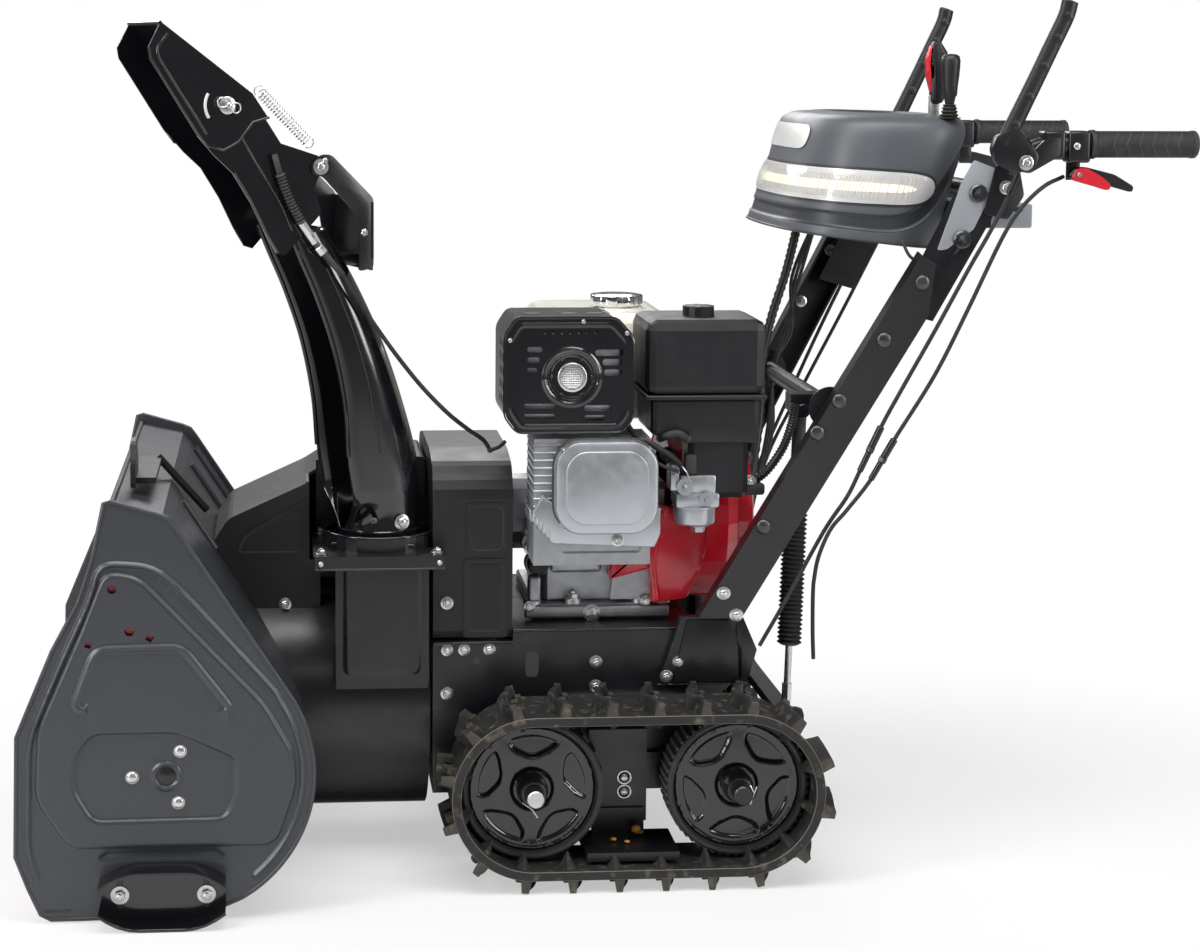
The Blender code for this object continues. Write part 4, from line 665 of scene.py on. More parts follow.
SKID_POCKET = [(-0.665, 0.094), (-0.525, 0.094), (-0.512, 0.082), (-0.678, 0.082)]
PLATE_FEATURES = [("bead", rounded(OUTER_RIB, 0.03)[5:-5], 0.0046, 0.0042, False),
                  ("area", rounded(INNER_RIB, 0.018), 0.006, 0.0052, True),
                  ("bead", [p for p in rounded(TRAPEZOID, 0.016) if p[1] > 0.2775], 0.0058, 0.004, False),
                  ("area", rounded(OCTAGON, 0.014), 0.006, -0.0048, True),
                  ("bead", circle(AUGER.x, AUGER.z, 0.0165, 32), 0.0042, 0.0032, True),
                  ("area", rounded(SKID_POCKET, 0.008), 0.006, -0.0022, True),
                  ("bead", [(-0.742, 0.013), (-0.716, 0.013)], 0.005, 0.0022, False)]
PLATE_HOLES = [
    circle(-0.654, 0.439, 0.0062, 8), circle(-0.685, 0.367, 0.0056, 4, 0.55),
    circle(-0.6325, 0.384, 0.0068, 6), circle(-0.607, 0.375, 0.006, 4, 0.25),
    circle(AUGER.x, AUGER.z, 0.0105, 20),
]
for name, side in SIDES:
    outward = side * Y
    sheet("stamped_plate_" + name, PLATE_OUTLINE, PLATE_FEATURES, face_y(side * PLATE_Y), HOUSING, "chassis",
          0.0026, PLATE_HOLES, 0.003, ["side_plate_" + name])
    rim = Shape().tube([(a, side * 0.379, b) for a, b in closed(PLATE_OUTLINE)], 0.0028, 8)
    rim.emit("plate_rim_" + name, HOUSING, "chassis", 60)
    backing = Shape().plate(PLATE_OUTLINE, side, 0.3756, 0.3766)
    backing.emit("plate_backing_" + name, RED if side < 0 else HOUSING, "chassis")
    fixings = Shape()
    for a, b in ((-0.6316, 0.1915), (-0.57, 0.225), (-0.573, 0.157)):
        fixings.disc((a, side * 0.38, b), outward, 0.0085, 0.0012)
        fixings.dome((a, side * 0.3812, b), outward, 0.0078, 0.0042)
    for a, b in ((-0.649, 0.037), (-0.538, 0.036)):
        fixings.lathe([(0, 0), (0.0115, 0), (0.012, 0.0005), (0.012, 0.0016), (0, 0.0016)],
                      (a, side * 0.3848, b), outward, 32)
        fixings.bolt((a, side * 0.3864, b), outward, 0.0072, False, 0.005)
    fixings.emit("housing_fixings_" + name, ZINC, "chassis")
    cap = Shape().lathe([(0, 0), (0.0125, 0), (0.0125, 0.001), (0.0095, 0.003), (0, 0.0034)],
                        (AUGER.x, side * 0.379, AUGER.z), outward, 36)
    for a in (-0.649, -0.538):
        cap.plate(rectangle(a - 0.0045, a + 0.0045, 0.018, 0.062, 0.004), side, 0.3841, 0.3846)
    cap.emit("bearing_cap_" + name, SATIN, "chassis")
    for band, low, high in (("lower", 0.0, 1), ("upper", 0.078, -1)):
        points = []
        for t in np.linspace(-1, 1, 41):
            rise = 0.02 * max(0.0, (abs(t) - 0.35) / 0.65) ** 2
            points.append((-0.594 + 0.081 * t, side * 0.4222, low + high * (rise + 0.0021)))
        Shape().tube(points, 0.0021, 10).emit(f"skid_{band}_lip_{name}", GLOSS, "chassis", 60)


def wrap_point(angle, y, offset):
    """A point on the back sheet's outside. Past 33 degrees it runs up the slope, 1 mm to a degree."""
    radius, turn = 0.1825 + offset, math.radians(min(angle, 33))
    run = max(0, angle - 33) * 0.001
    return (AUGER.x + radius * math.cos(turn) - run * math.sin(turn), y,
            AUGER.z + radius * math.sin(turn) + run * math.cos(turn))


beads = Shape()
BEAD_SETS = (((-0.362, -0.335, 0.335, 0.362), 0.0042, -0.0008, np.linspace(-35, 285, 60)),
             ((-0.115, 0.19), 0.005, -0.0012, np.linspace(205, 285, 12)))
for ys, radius, offset, angles in BEAD_SETS:
    for y in ys:
        beads.tube([wrap_point(angle, y, offset) for angle in angles], radius, 10)
beads.emit("back_sheet_beads", HOUSING, "chassis", 60)
front_lip = Shape().tube([(-0.6565, y, 0.5385) for y in (-0.3757, 0.3757)], 0.0038, 12)
front_lip.emit("front_lip", HOUSING, "chassis", 60)

# ---------------------------------------------------------------- auger flights

FLIGHT_ROOT, FLIGHT_TIP, TOOTH = 0.118, 0.1595, 0.0035
FLIGHT_STEPS, TOOTH_STEPS, FLIGHT_TURNS = 110, 5, 1.25


def flight(name, side):
    """One serrated ribbon on its half of the shaft, with its spokes."""

    def at(share):
        angle = side * math.tau * FLIGHT_TURNS * share
        return AUGER + side * (0.07 + 0.282 * share) * Y, Vector((math.cos(angle), 0, math.sin(angle)))

    rings = []
    for i in range(FLIGHT_STEPS + 1):
        base, ray = at(i / FLIGHT_STEPS)
        tip = FLIGHT_TIP - TOOTH * (0.5 + 0.5 * math.cos(math.tau * i / TOOTH_STEPS))
        section = ((FLIGHT_ROOT, -0.002), (tip, -0.002), (tip, 0.002), (FLIGHT_ROOT, 0.002))
        rings.append([base + ray * radius + shift * Y for radius, shift in section])
    shape = Shape().put(loft(bmesh.new(), rings))
    shape.rod(AUGER + side * 0.052 * Y, AUGER + side * 0.358 * Y, 0.021, edge=0.001)
    for share in (0.06, 0.37, 0.68, 0.94):
        base, ray = at(share)
        shape.rod(base + ray * 0.016, base + ray * 0.126, 0.0065, sides=16)
    shape.emit("auger_ribbon_" + name, RED, "auger", 40, 0, ["auger_flight_" + name])


for name, side in SIDES:
    flight(name, side)
worm = Shape()
worm.lathe([(0, -0.041), (0.03, -0.041), (0.034, -0.037), (0.034, -0.03), (0.026, -0.028), (0.026, 0.028),
            (0.034, 0.03), (0.034, 0.037), (0.03, 0.041), (0, 0.041)], AUGER, Y, 40)
for k in range(6):
    angle = math.tau * k / 6
    worm.bolt(AUGER + Vector((0.038 * math.cos(angle), -0.04, 0.038 * math.sin(angle))), -Y, 0.0042, False,
              0.003)
worm.emit("gearbox_fixings", SATIN, "chassis")

# ---------------------------------------------------------------- chute

CHUTE_X, CHUTE_Y = -0.304, -0.13
CHUTE = Matrix.Translation((CHUTE_X, CHUTE_Y, 0)) @ Matrix.Rotation(math.radians(20), 4, "Z")
CHUTE_LEVELS = [
    (0.4475, -0.055, 0.055, 0.055), (0.471, -0.055, 0.055, 0.055), (0.5, -0.058, 0.054, 0.056),
    (0.565, -0.068, 0.05, 0.058), (0.645, -0.074, 0.028, 0.06), (0.725, -0.09, -0.001, 0.061),
    (0.795, -0.114, -0.034, 0.061), (0.85, -0.138, -0.065, 0.061), (0.885, -0.152, -0.088, 0.061),
]


def chute_section(front, back, half, roundness):
    """The U open to the front at roundness 0, a nearly closed circle at 1."""
    radius = min(half, (back - front) * 0.55)
    u = [(front, -half), ((front * 2 + back - radius) / 3, -half), ((front + (back - radius) * 2) / 3, -half)]
    for i in range(21):
        angle = -math.pi / 2 + math.pi * i / 20
        u.append((back - radius + radius * math.cos(angle), half * math.sin(angle)))
    u += [((front + (back - radius) * 2) / 3, half), ((front * 2 + back - radius) / 3, half), (front, half)]
    ring = circle(0, 0, 0.055, len(u), math.radians(-172), math.radians(344))
    return [tuple(Vector(p).lerp(Vector(q), roundness)) for p, q in zip(u, ring)]


CHUTE_CURVE = through(CHUTE_LEVELS, 6)
work = bmesh.new()
rows = []
for z, front, back, half in CHUTE_CURVE:
    roundness = min(1.0, max(0.0, (0.515 - z) / 0.045))
    rows.append([work.verts.new((x, y, z)) for x, y in chute_section(front, back, half, roundness)])
skin(work, rows)
mesh = bpy.data.meshes.new("chute_channel")
bmesh.ops.recalc_face_normals(work, faces=work.faces)
work.transform(CHUTE)
work.to_mesh(mesh)
work.free()
channel = show("chute_channel", mesh, GLOSS, "chute", 50, 0, ["chute"])
solid = channel.modifiers.new("skin", "SOLIDIFY")
solid.thickness, solid.offset = 0.0024, 0.0

seams = Shape(CHUTE)
for side in (-1, 1):
    seams.tube([(front, side * (half + 0.0004), z) for z, front, back, half in CHUTE_CURVE if z > 0.576],
               0.003, 8)
    seams.tube([(front + (back - front) * 0.4, side * (half + 0.0012), z)
                for z, front, back, half in through(CHUTE_LEVELS[3:], 6) if 0.576 < z < 0.84], 0.0016, 8)
seams.lathe([(0.0525, 0.4452), (0.07, 0.4452), (0.0705, 0.4458), (0.0705, 0.4484), (0.07, 0.449),
             (0.062, 0.449), (0.0595, 0.452), (0.0585, 0.457), (0.0585, 0.469), (0.0575, 0.47),
             (0.0535, 0.47), (0.0525, 0.469), (0.0525, 0.4452)], (0, 0, 0), Z, 72)
seams.emit("chute_base_ring", GLOSS, "chute", 40)

ARM = [
    (-0.058, 0.828), (-0.036, 0.832), (-0.036, 0.925), (-0.096, 0.984), (-0.112, 0.984), (-0.125, 0.97),
    (-0.123, 0.958), (-0.108, 0.955), (-0.062, 0.905), (-0.056, 0.87),
]
PIVOT_X, PIVOT_Z = -0.1112, 0.968
bracket, fixings = Shape(CHUTE), Shape(CHUTE)
for side in (-1, 1):
    outward = side * Y
    bracket.plate(rounded(ARM, 0.006, 3), side, 0.067, 0.07, 0.0006)
    fixings.rod((PIVOT_X, side * 0.06, PIVOT_Z), (PIVOT_X, side * 0.0725, PIVOT_Z), 0.004, sides=20)
    fixings.ring((PIVOT_X, side * 0.07, PIVOT_Z), outward, 0.0042, 0.0105, 0.0016)
    fixings.bolt((PIVOT_X, side * 0.0716, PIVOT_Z), outward, 0.0066, False)
    fixings.bolt((-0.05, side * 0.07, 0.88), outward, 0.0052, False, 0.0036)
    fixings.bolt((0.01, side * 0.057, 0.482), outward, 0.0072, True, 0.0042)
bracket.box((-0.04, -0.069, 0.829), (-0.0365, 0.069, 0.924), 0.0008)
bracket.box((-0.078, -0.03, 0.834), (-0.038, 0.03, 0.848), 0.002)
bracket.tube([(-0.038, -0.069, 0.845), (-0.038, -0.069, 0.92)], 0.0024, 8)
bracket.emit("deflector_bracket", SATIN, "chute")
fixings.bolt((-0.105, -0.07, 0.976), -Y, 0.004, False, 0.003)
fixings.emit("chute_fixings", ZINC, "chute")
Shape(CHUTE).dome((-0.03, -0.056, 0.486), -Y, 0.005, 0.0016).emit("chute_rivet", DARK_METAL, "chute")

# ---------------------------------------------------------------- deflectors

HALF_CAP, HALF_LOW = 0.0698, 0.066
PIN_X, PIN_Z = -0.2392, 1.0488
CAP_RIDGE = [(-0.318, 1.14), (-0.332, 1.118), (-0.318, 1.09), (-0.283, 1.036), (-0.268, 1.012)]
CAP_EDGE = [
    (-0.344, 1.122), (-0.342, 1.108), (-0.282, 1.014), (-0.268, 0.996), (-0.246, 0.99), (-0.226, 1.0),
    (-0.205, 1.026), (-0.183, 1.032),
]
LOW_EDGE = [(-0.232, 0.962), (-0.207, 0.922), (-0.187, 0.881), (-0.172, 0.856)]
LOW_RIB = [(-0.226, 1.02), (-0.2, 0.975), (-0.168, 0.925), (-0.15, 0.885)]
COTTER_BOW = [
    (0.0, 0.0), (0.006, 0.0052), (0.013, 0.0065), (0.0165, 0.0), (0.013, -0.006), (0.006, -0.0045),
    (0.0, 0.0), (-0.006, 0.0052), (-0.0125, 0.0062), (-0.016, 0.0005), (-0.0125, -0.0058), (-0.0055, -0.0045),
    (0.0, 0.0015),
]
cap_trim, low_trim, pin = Shape(CHUTE), Shape(CHUTE), Shape(CHUTE)
for side in (-1, 1):
    cap_trim.tube([(a, side * (HALF_CAP + 0.0002), b) for a, b in through(CAP_RIDGE, 6)], 0.0022, 8)
    cap_trim.tube([(a + 0.001, side * (HALF_CAP - 0.0006), b + 0.001) for a, b in CAP_EDGE], 0.0017, 8)
    low_trim.tube([(a + 0.002, side * (HALF_LOW + 0.0001), b) for a, b in through(LOW_EDGE, 5)], 0.0017, 8)
    low_trim.tube([(a, side * (HALF_LOW + 0.0001), b) for a, b in through(LOW_RIB, 6)], 0.0019, 8)
    pin.lathe([(0.0042, 0), (0.011, 0), (0.0115, 0.0004), (0.0115, 0.0014), (0.011, 0.0018),
               (0.0042, 0.0018)], (PIN_X, side * HALF_CAP, PIN_Z), side * Y, 32)
    pin.rod((PIN_X, side * 0.066, PIN_Z), (PIN_X, side * 0.08, PIN_Z), 0.004, sides=20, edge=0.0008)
    bow = turned(through(COTTER_BOW, 5), math.radians(-20))
    pin.tube([(PIN_X + a, side * 0.076, PIN_Z + b) for a, b in bow], 0.0011, 8)
cap_trim.tube([(-0.3275, y, 1.1535) for y in np.linspace(-0.069, 0.069, 9)], 0.0026, 10)
cap_trim.emit("cap_edges", GLOSS, "deflector_upper", 50)
low_trim.emit("lower_deflector_edges", GLOSS, "deflector_lower", 50)
slot = circle(PIN_X, PIN_Z, 0.03, 14, math.radians(150), math.radians(62))
slot_line = Shape(CHUTE).tube([(a, -(HALF_CAP + 0.0004), b) for a, b in slot], 0.0021, 8)
slot_line.emit("cap_slot", REFLECTOR, "deflector_upper", 60)
pin.emit("cap_cotter", ZINC, "deflector_lower", 50)

TOP, BOTTOM = Vector((-0.194, -0.054, 1.0712)), Vector((-0.118, -0.054, 0.9955))
TURNS, TURN_STEPS, COIL = 20, 14, 0.0074
run = BOTTOM - TOP
out_axis = run.cross(Y).normalized()
coil = []
for i in range(TURNS * TURN_STEPS + 1):
    angle = math.tau * i / TURN_STEPS
    coil.append(TOP + run * (0.08 + 0.84 * i / (TURNS * TURN_STEPS)) + COIL
                * (math.cos(angle) * Y + math.sin(angle) * out_axis))
spring = Shape(CHUTE).tube(coil, 0.00085, 6)
for end, way, angles in ((TOP, 1, np.linspace(math.pi, 0.3, 10)),
                         (BOTTOM, -1, np.linspace(0.0, math.pi - 0.3, 10))):
    spring.tube([end + COIL * out_axis * math.cos(a) + way * run.normalized() * (0.006 - 0.007 * math.sin(a))
                 for a in angles], 0.0009, 8)
spring.emit("return_spring", ZINC, "chute", 60, 0, ["deflector_spring"])

# ---------------------------------------------------------------- covers, frame and flange

def panel(name, outline, area, width, height, y, paint, thickness):
    """A stamped sheet on the plane Y = y with one raised or sunk area."""
    sheet(name, outline, [("area", area, width, height, True)], face_y(y), paint, "chassis", thickness)


panel("duct_panel", rectangle(-0.366, -0.239, 0.262, 0.4385, 0.004),
      rectangle(-0.353, -0.252, 0.276, 0.436, 0.01), 0.006, 0.0026, -0.2012, SATIN, 0.0016)
for name, side in SIDES:
    for place, low_x, low_z, high_z, area in (("upper", -0.186, 0.432, 0.506,
                                               rectangle(-0.179, -0.136, 0.44, 0.498, 0.008)),
                                              ("lower", -0.19, 0.318, 0.428,
                                               rectangle(-0.183, -0.136, 0.327, 0.42, 0.008))):
        panel(f"belt_panel_{place}_{name}", rectangle(low_x, -0.128, low_z, high_z), area, 0.005, -0.0022,
              side * 0.1729, PLASTIC, 0.001)
panel("cover_panel", [(-0.506, 0.42), (-0.494, 0.452), (-0.404, 0.502), (-0.404, 0.42)],
      rounded([(-0.497, 0.427), (-0.488, 0.447), (-0.411, 0.49), (-0.411, 0.427)], 0.008), 0.005, -0.002,
      -0.1006, PLASTIC, 0.001)
DRUM_RADIUS, DRUM_Z = 0.169, 0.21
drum = Shape()
for low, high, start, end in ((-0.5045, -0.367, 0, 360), (-0.367, -0.2355, 165, 471)):
    arc = [(DRUM_RADIUS * math.cos(math.radians(a)), DRUM_Z + DRUM_RADIUS * math.sin(math.radians(a)))
           for a in np.linspace(start, end, 91)]
    work = loft(bmesh.new(), [[(x, y, z) for y, z in arc] for x in (low, high)])
    ends = [face for face in work.faces if len(face.verts) > 4 or face.calc_area() > 0.01]
    bmesh.ops.delete(work, geom=ends, context="FACES_ONLY")
    drum.put(work)
drum.emit("drum_skin", SATIN, "chassis", 60)
frame_bolts, hole_shade, lips = Shape(), Shape(), Shape()
for side in (-1, 1):
    outward = side * Y
    for x, y, z, size in ((-0.0063, 0.1781, 0.2823, 0.006), (0.1071, 0.1926, 0.2837, 0.006),
                          (-0.0063, 0.1781, 0.248, 0.006), (-0.2126, 0.1781, 0.241, 0.006),
                          (0.09, 0.1926, 0.264, 0.006), (-0.2126, 0.1781, 0.302, 0.0056),
                          (-0.189, 0.1781, 0.302, 0.0056), (-0.154, 0.1781, 0.302, 0.0056),
                          (-0.2126, 0.1735, 0.367, 0.006)):
        frame_bolts.bolt((x, side * y, z), outward, size)
    hole_shade.plate(rectangle(-0.104, -0.086, 0.262, 0.298, 0.009), side, 0.1782, 0.1786)
    hole_shade.plate(circle(-0.172, 0.286, 0.005, 20), side, 0.1782, 0.1786)
    lips.box((-0.232, side * 0.1785 - 0.0015, 0.3095), (-0.123, side * 0.1785 + 0.0015, 0.3133), 0.0008)
    lips.box((-0.1215, side * 0.1785 - 0.002, 0.326), (0.132, side * 0.1785 + 0.002, 0.33), 0.001)
    lips.tube([(0.078, side * 0.1922, 0.2518), (0.203, side * 0.1922, 0.2518)], 0.0012, 8)
frame_bolts.bolt((-0.434, -0.1001, 0.352), -Y, 0.006)
for x, y in ((-0.385, -0.205), (-0.228, -0.205), (-0.385, -0.06)):
    frame_bolts.bolt((x, y, 0.4441), Z, 0.0058)
for x in (-0.386, -0.226):
    frame_bolts.bolt((x, -0.2236, 0.434), -Y, 0.004, False, 0.003)
frame_bolts.emit("frame_fixings", ZINC, "chassis")
flange = Shape().tube([(-0.393, -0.2222, 0.4258), (-0.219, -0.2222, 0.4258)], 0.0018, 8)
flange.tube([(CHUTE_X + 0.0748 * math.cos(a), CHUTE_Y + 0.0748 * math.sin(a), 0.464)
             for a in np.linspace(math.radians(78), math.radians(360), 64)], 0.0018, 8)
for angle in map(math.radians, (160, 215, 300)):
    at = Vector((CHUTE_X + 0.07 * math.cos(angle), CHUTE_Y + 0.07 * math.sin(angle), 0.4492))
    flange.box(at - Vector((0.01, 0.006, 0)), at + Vector((0.01, 0.006, 0.005)), 0.0015)
flange.emit("flange_edges", GLOSS, "chassis", 60)
# Dark plates on the frame's sides, which are not cut, are painted shade inside a slot and a round hole.
hole_shade.emit("frame_hole_shade", RUBBER, "chassis")
lips.emit("deck_lips", GLOSS, "chassis", 50)

# ---------------------------------------------------------------- tracks

DRIVE, IDLER, AXLE = -0.103, 0.177, 0.13
PITCH_RADIUS, LUGS = 0.111, 20
SPAN, HALF_TURN = IDLER - DRIVE, math.pi * PITCH_RADIUS
PERIMETER = 2 * (SPAN + HALF_TURN)
PITCH = PERIMETER / LUGS


def belt_at(distance, radius):
    """A point along the belt, from under the idler forward, up and back over the top."""
    distance %= PERIMETER
    if distance < SPAN:
        return IDLER - distance, AXLE - radius
    distance -= SPAN
    if distance < HALF_TURN:
        angle = -math.pi / 2 - distance / PITCH_RADIUS
        return DRIVE + radius * math.cos(angle), AXLE + radius * math.sin(angle)
    distance -= HALF_TURN
    if distance < SPAN:
        return DRIVE + distance, AXLE + radius
    angle = math.pi / 2 - (distance - SPAN) / PITCH_RADIUS
    return IDLER + radius * math.cos(angle), AXLE + radius * math.sin(angle)


def block(shape, side, distance, rows):
    """A solid on the belt. Each row is (y, centre, half base, half tip, base radius, tip radius)."""
    rings = []
    for y, centre, base, tip, low, high in rows:
        places = [belt_at(distance + centre + s, radius) for s, radius in ((-base, low), (base, low),
                                                                           (tip, high), (-tip, high))]
        rings.append([(x, side * y, z) for x, z in places])
    shape.put(loft(bmesh.new(), rings))


BELT_SECTION = [
    (0.1005, 0.204), (0.1012, 0.203), (0.1112, 0.203), (0.112, 0.204), (0.112, 0.208), (0.1108, 0.21),
    (0.1108, 0.311), (0.1122, 0.313), (0.1122, 0.3172), (0.1115, 0.318), (0.1002, 0.318), (0.0995, 0.3172),
    (0.0995, 0.311), (0.101, 0.309), (0.101, 0.21), (0.1005, 0.208),
]
LUG_SWEEP = ((0.204, 0.011), (0.22, 0.0075), (0.233, 0.0005), (0.244, -0.004), (0.2605, -0.0085),
             (0.277, -0.004), (0.288, 0.0005), (0.301, 0.0075), (0.317, 0.011))
BELT_INNER = 0.1095
GUIDE = [
    (0.278, 0, 0.009, 0.0012, 0.1015, 0.084), (0.286, 0, 0.009, 0.0016, 0.1015, 0.086),
    (0.312, 0, 0.0085, 0.004, 0.1015, 0.1),
]


def make_belt(name, side):
    rings = []
    for i in range(200):
        places = [(belt_at(PERIMETER * i / 200, radius), y) for radius, y in BELT_SECTION]
        rings.append([(x, side * y, z) for (x, z), y in places])
    shape = Shape().put(loft(bmesh.new(), rings, True))
    for i in range(LUGS):
        middle = (i + 0.5) * PITCH
        block(shape, side, middle,
              [(y, sweep * 0.8, 0.008, 0.0042, BELT_INNER, 0.13 if 0.21 < y < 0.31 else 0.1296)
               for y, sweep in LUG_SWEEP])
        for y, centre, base, tip, high in ((0.23, 0.016, 0.0055, 0.0035, 0.1215),
                                           (0.291, 0.016, 0.0055, 0.0035, 0.1215),
                                           (0.2605, 0.0095, 0.006, 0.004, 0.124)):
            block(shape, side, middle,
                  [(y + shift, centre, base, tip, BELT_INNER, high) for shift in (-0.007, 0.007)])
        block(shape, side, middle + 0.2 * PITCH, GUIDE)
    shape.emit("belt_" + name, BELT_RUBBER, "track_frame", 32, 0.0006, ["track_belt_" + name])


def pocket(angle):
    """A D-shaped pocket of the wheel's star."""
    polar = [(0.0735, a) for a in range(-29, 30, 6)]
    polar += [(0.062, 26), (0.052, 17), (0.046, 8), (0.045, 0), (0.046, -8), (0.052, -17), (0.062, -26)]
    return rounded([(r * math.cos(math.radians(angle + a)), r * math.sin(math.radians(angle + a)))
                    for r, a in polar], 0.005)


WHEEL_Y, STAR = 0.208, 0.0885


def make_wheel(kind, name, side, x, turn):
    body = f"{kind}_wheel_{name}"
    features = [("area", pocket(turn + 72 * k), 0.0055, -0.0042, True) for k in range(5)]
    features += [("bead", circle(0, 0, 0.083, 60), 0.004, 0.0018, True),
                 ("area", circle(0, 0, 0.0285, 36), 0.0055, -0.004, True)]

    def face(a, b, h):
        dish = 0.005 * min(1, math.hypot(a, b) / STAR) ** 2
        return x + a, side * (0.267 - dish + h), AXLE + b

    sheet("star_" + body, circle(0, 0, STAR, 72), features, face, GLOSS, body, 0.0022,
          [circle(0, 0, 0.019, 30)], 0.0042, [body])
    middle = Vector((x, side * WHEEL_Y, AXLE))
    rim = Shape().lathe([(0.086, 0.012), (0.093, 0.006), (0.0962, 0.004), (0.097, 0.008), (0.097, 0.06),
                         (0.096, 0.0645), (0.093, 0.066), (0.089, 0.065), (0.0868, 0.06), (0.086, 0.05),
                         (0.086, 0.012)], middle, side * Y, 72)
    if kind == "drive":
        count, low, high, bevel = 22, (-0.0075, 0, 0.092), (0.0075, side * 0.046, 0.1), 0.0018
    else:
        count, low, high, bevel = 56, (-0.0022, side * 0.006, 0.096), (0.0022, side * 0.062, 0.0985), 0
    for k in range(count):
        place = Matrix.Translation(middle) @ Matrix.Rotation(math.tau * k / count, 4, "Y")
        rim.box(low, high, bevel, 1, place)
    rim.emit("tyre_" + body, RUBBER, body)
    hub = Shape().lathe([(0.013, 0.004), (0.021, 0.004), (0.0205, 0.06), (0.0215, 0.0665), (0.02, 0.069),
                         (0.0175, 0.079), (0.0165, 0.083), (0.015, 0.084), (0.013, 0.084), (0.013, 0.004)],
                        middle, side * Y, 48)
    hub.emit("hub_" + body, SATIN, body)


GREASE_DROPS = ((0.046, 0.222, 0.056, 0.0062), (0.012, 0.24, 0.049, 0.0045), (0.03, 0.25, 0.0485, 0.0035),
                (0.052, 0.215, 0.05, 0.005))
for name, side in SIDES:
    outward = side * Y
    make_belt(name, side)
    make_wheel("drive", name, side, DRIVE, 90)
    make_wheel("idler", name, side, IDLER, -90)
    end = Shape().lathe([(0, 0), (0.0112, 0), (0.0112, 0.006), (0.01, 0.0076), (0, 0.008)],
                        (DRIVE, side * 0.2925, AXLE), outward, 6)
    end.rod((DRIVE, side * 0.2925, AXLE), (DRIVE, side * 0.3175, AXLE), 0.0118, sides=32, edge=0.0012)
    end.tube([(DRIVE - 0.016, side * 0.302, AXLE - 0.008), (DRIVE - 0.004, side * 0.304, AXLE - 0.016),
              (DRIVE + 0.004, side * 0.304, AXLE - 0.028)], 0.0013, 8)
    end.emit("drive_axle_end_" + name, ZINC, "chassis")
    end = Shape().rod((IDLER, side * 0.29, AXLE), (IDLER, side * 0.3185, AXLE), 0.013, sides=32, edge=0.0015)
    end.emit("idler_axle_end_" + name, SATIN, "track_frame")
    end = Shape().tube([(IDLER + 0.01, side * 0.309, AXLE + 0.012),
                        (IDLER + 0.0145, side * 0.312, AXLE + 0.002),
                        (IDLER + 0.01, side * 0.312, AXLE - 0.013)], 0.0013, 8)
    end.tube([(IDLER + 0.0145, side * 0.312, AXLE + 0.001), (IDLER + 0.0185, side * 0.312, AXLE + 0.011)],
             0.0013, 8)
    for z in (0.122, 0.102):
        end.disc((0.033, side * 0.1951, z), outward, 0.0098, 0.0014)
        end.dome((0.033, side * 0.1965, z), outward, 0.0082, 0.0046)
    end.emit("track_fixings_" + name, ZINC, "track_frame")
    grease = Shape()
    for x, y, z, size in GREASE_DROPS:
        drop = bmesh.new()
        bmesh.ops.create_icosphere(drop, subdivisions=3, radius=size)
        bmesh.ops.scale(drop, vec=(1.1, 1.2, 1.0 if size > 0.005 else 0.5), verts=drop.verts)
        grease.put(drop, Matrix.Translation((x, side * y, z)))
    grease.emit("grease_" + name, GREASE, "track_frame", 60)

# ---------------------------------------------------------------- engine

GUARD = [
    (-0.122, 0.61), (0.02, 0.61), (0.035, 0.628), (0.035, 0.738), (0.012, 0.765), (-0.124, 0.765),
    (-0.139, 0.742), (-0.139, 0.632),
]


DISH_X, DISH_Z = -0.0484, 0.6857
GUARD_SLOTS = ((-0.017, 0.021, 0.714, 0.7225), (-0.007, 0.02, 0.701, 0.7095), (-0.005, 0.02, 0.687, 0.6955),
               (-0.109, -0.088, 0.719, 0.7265), (-0.109, -0.092, 0.705, 0.7125),
               (-0.109, -0.095, 0.692, 0.698), (-0.113, -0.07, 0.643, 0.6495), (-0.113, -0.07, 0.629, 0.6355),
               (-0.031, 0.006, 0.639, 0.647), (-0.031, -0.002, 0.626, 0.6335))
GUARD_HOLES = [*[rectangle(*slot, (slot[3] - slot[2]) * 0.45, 3) for slot in GUARD_SLOTS],
               circle(DISH_X, DISH_Z, 0.019, 32),
               *[circle(-0.085 + 0.0115 * k, 0.7455, 0.0027, 10) for k in range(7)]]
GUARD_FEATURES = [
    ("bead", circle(DISH_X, DISH_Z, 0.0376, 60), 0.004, 0.0022, True),
    ("area", circle(DISH_X, DISH_Z, 0.03, 48), 0.005, -0.004, True),
    ("bead",
     rounded([(-0.13, 0.64), (-0.13, 0.738), (-0.118, 0.756), (0.006, 0.756), (0.026, 0.734), (0.026, 0.634),
              (0.014, 0.619), (-0.116, 0.619)], 0.006), 0.004, 0.0012, True),
]
sheet("muffler_guard_front", rounded(GUARD, 0.006), GUARD_FEATURES, face_y(-0.2208), GLOSS, "chassis", 0.0014,
      GUARD_HOLES, 0.0022, ["muffler"])
guard_line = rounded(GUARD, 0.008)
guard = Shape().tube([(a, -0.22, b) for a, b in closed(guard_line)], 0.002, 8)
walls = loft(bmesh.new(), [[(a, y, b) for a, b in guard_line] for y in (-0.2205, -0.08)])
guard.put(walls)
for angle in np.linspace(0, math.tau, 7)[:-1]:
    guard.dome((DISH_X + 0.027 * math.cos(angle), -0.22, DISH_Z + 0.027 * math.sin(angle)), -Y, 0.0024,
               0.0016)
front = [face for face in guard.work.faces if len(face.verts) > 20 and face.calc_center_median().y < -0.2]
bmesh.ops.delete(guard.work, geom=front, context="FACES_ONLY")
guard.emit("muffler_guard_sides", GLOSS, "chassis", 40)
# Dark plates on the guard's side and top walls, which have no holes, are painted shade inside the slots.
slot_shade = Shape()
for y in (-0.195, -0.173, -0.151):
    for z in (0.652, 0.671, 0.69, 0.709, 0.728):
        slot_shade.prism(rectangle(y - 0.004, y + 0.004, z - 0.006, z + 0.006, 0.003), "YZ", -0.1394, -0.139)
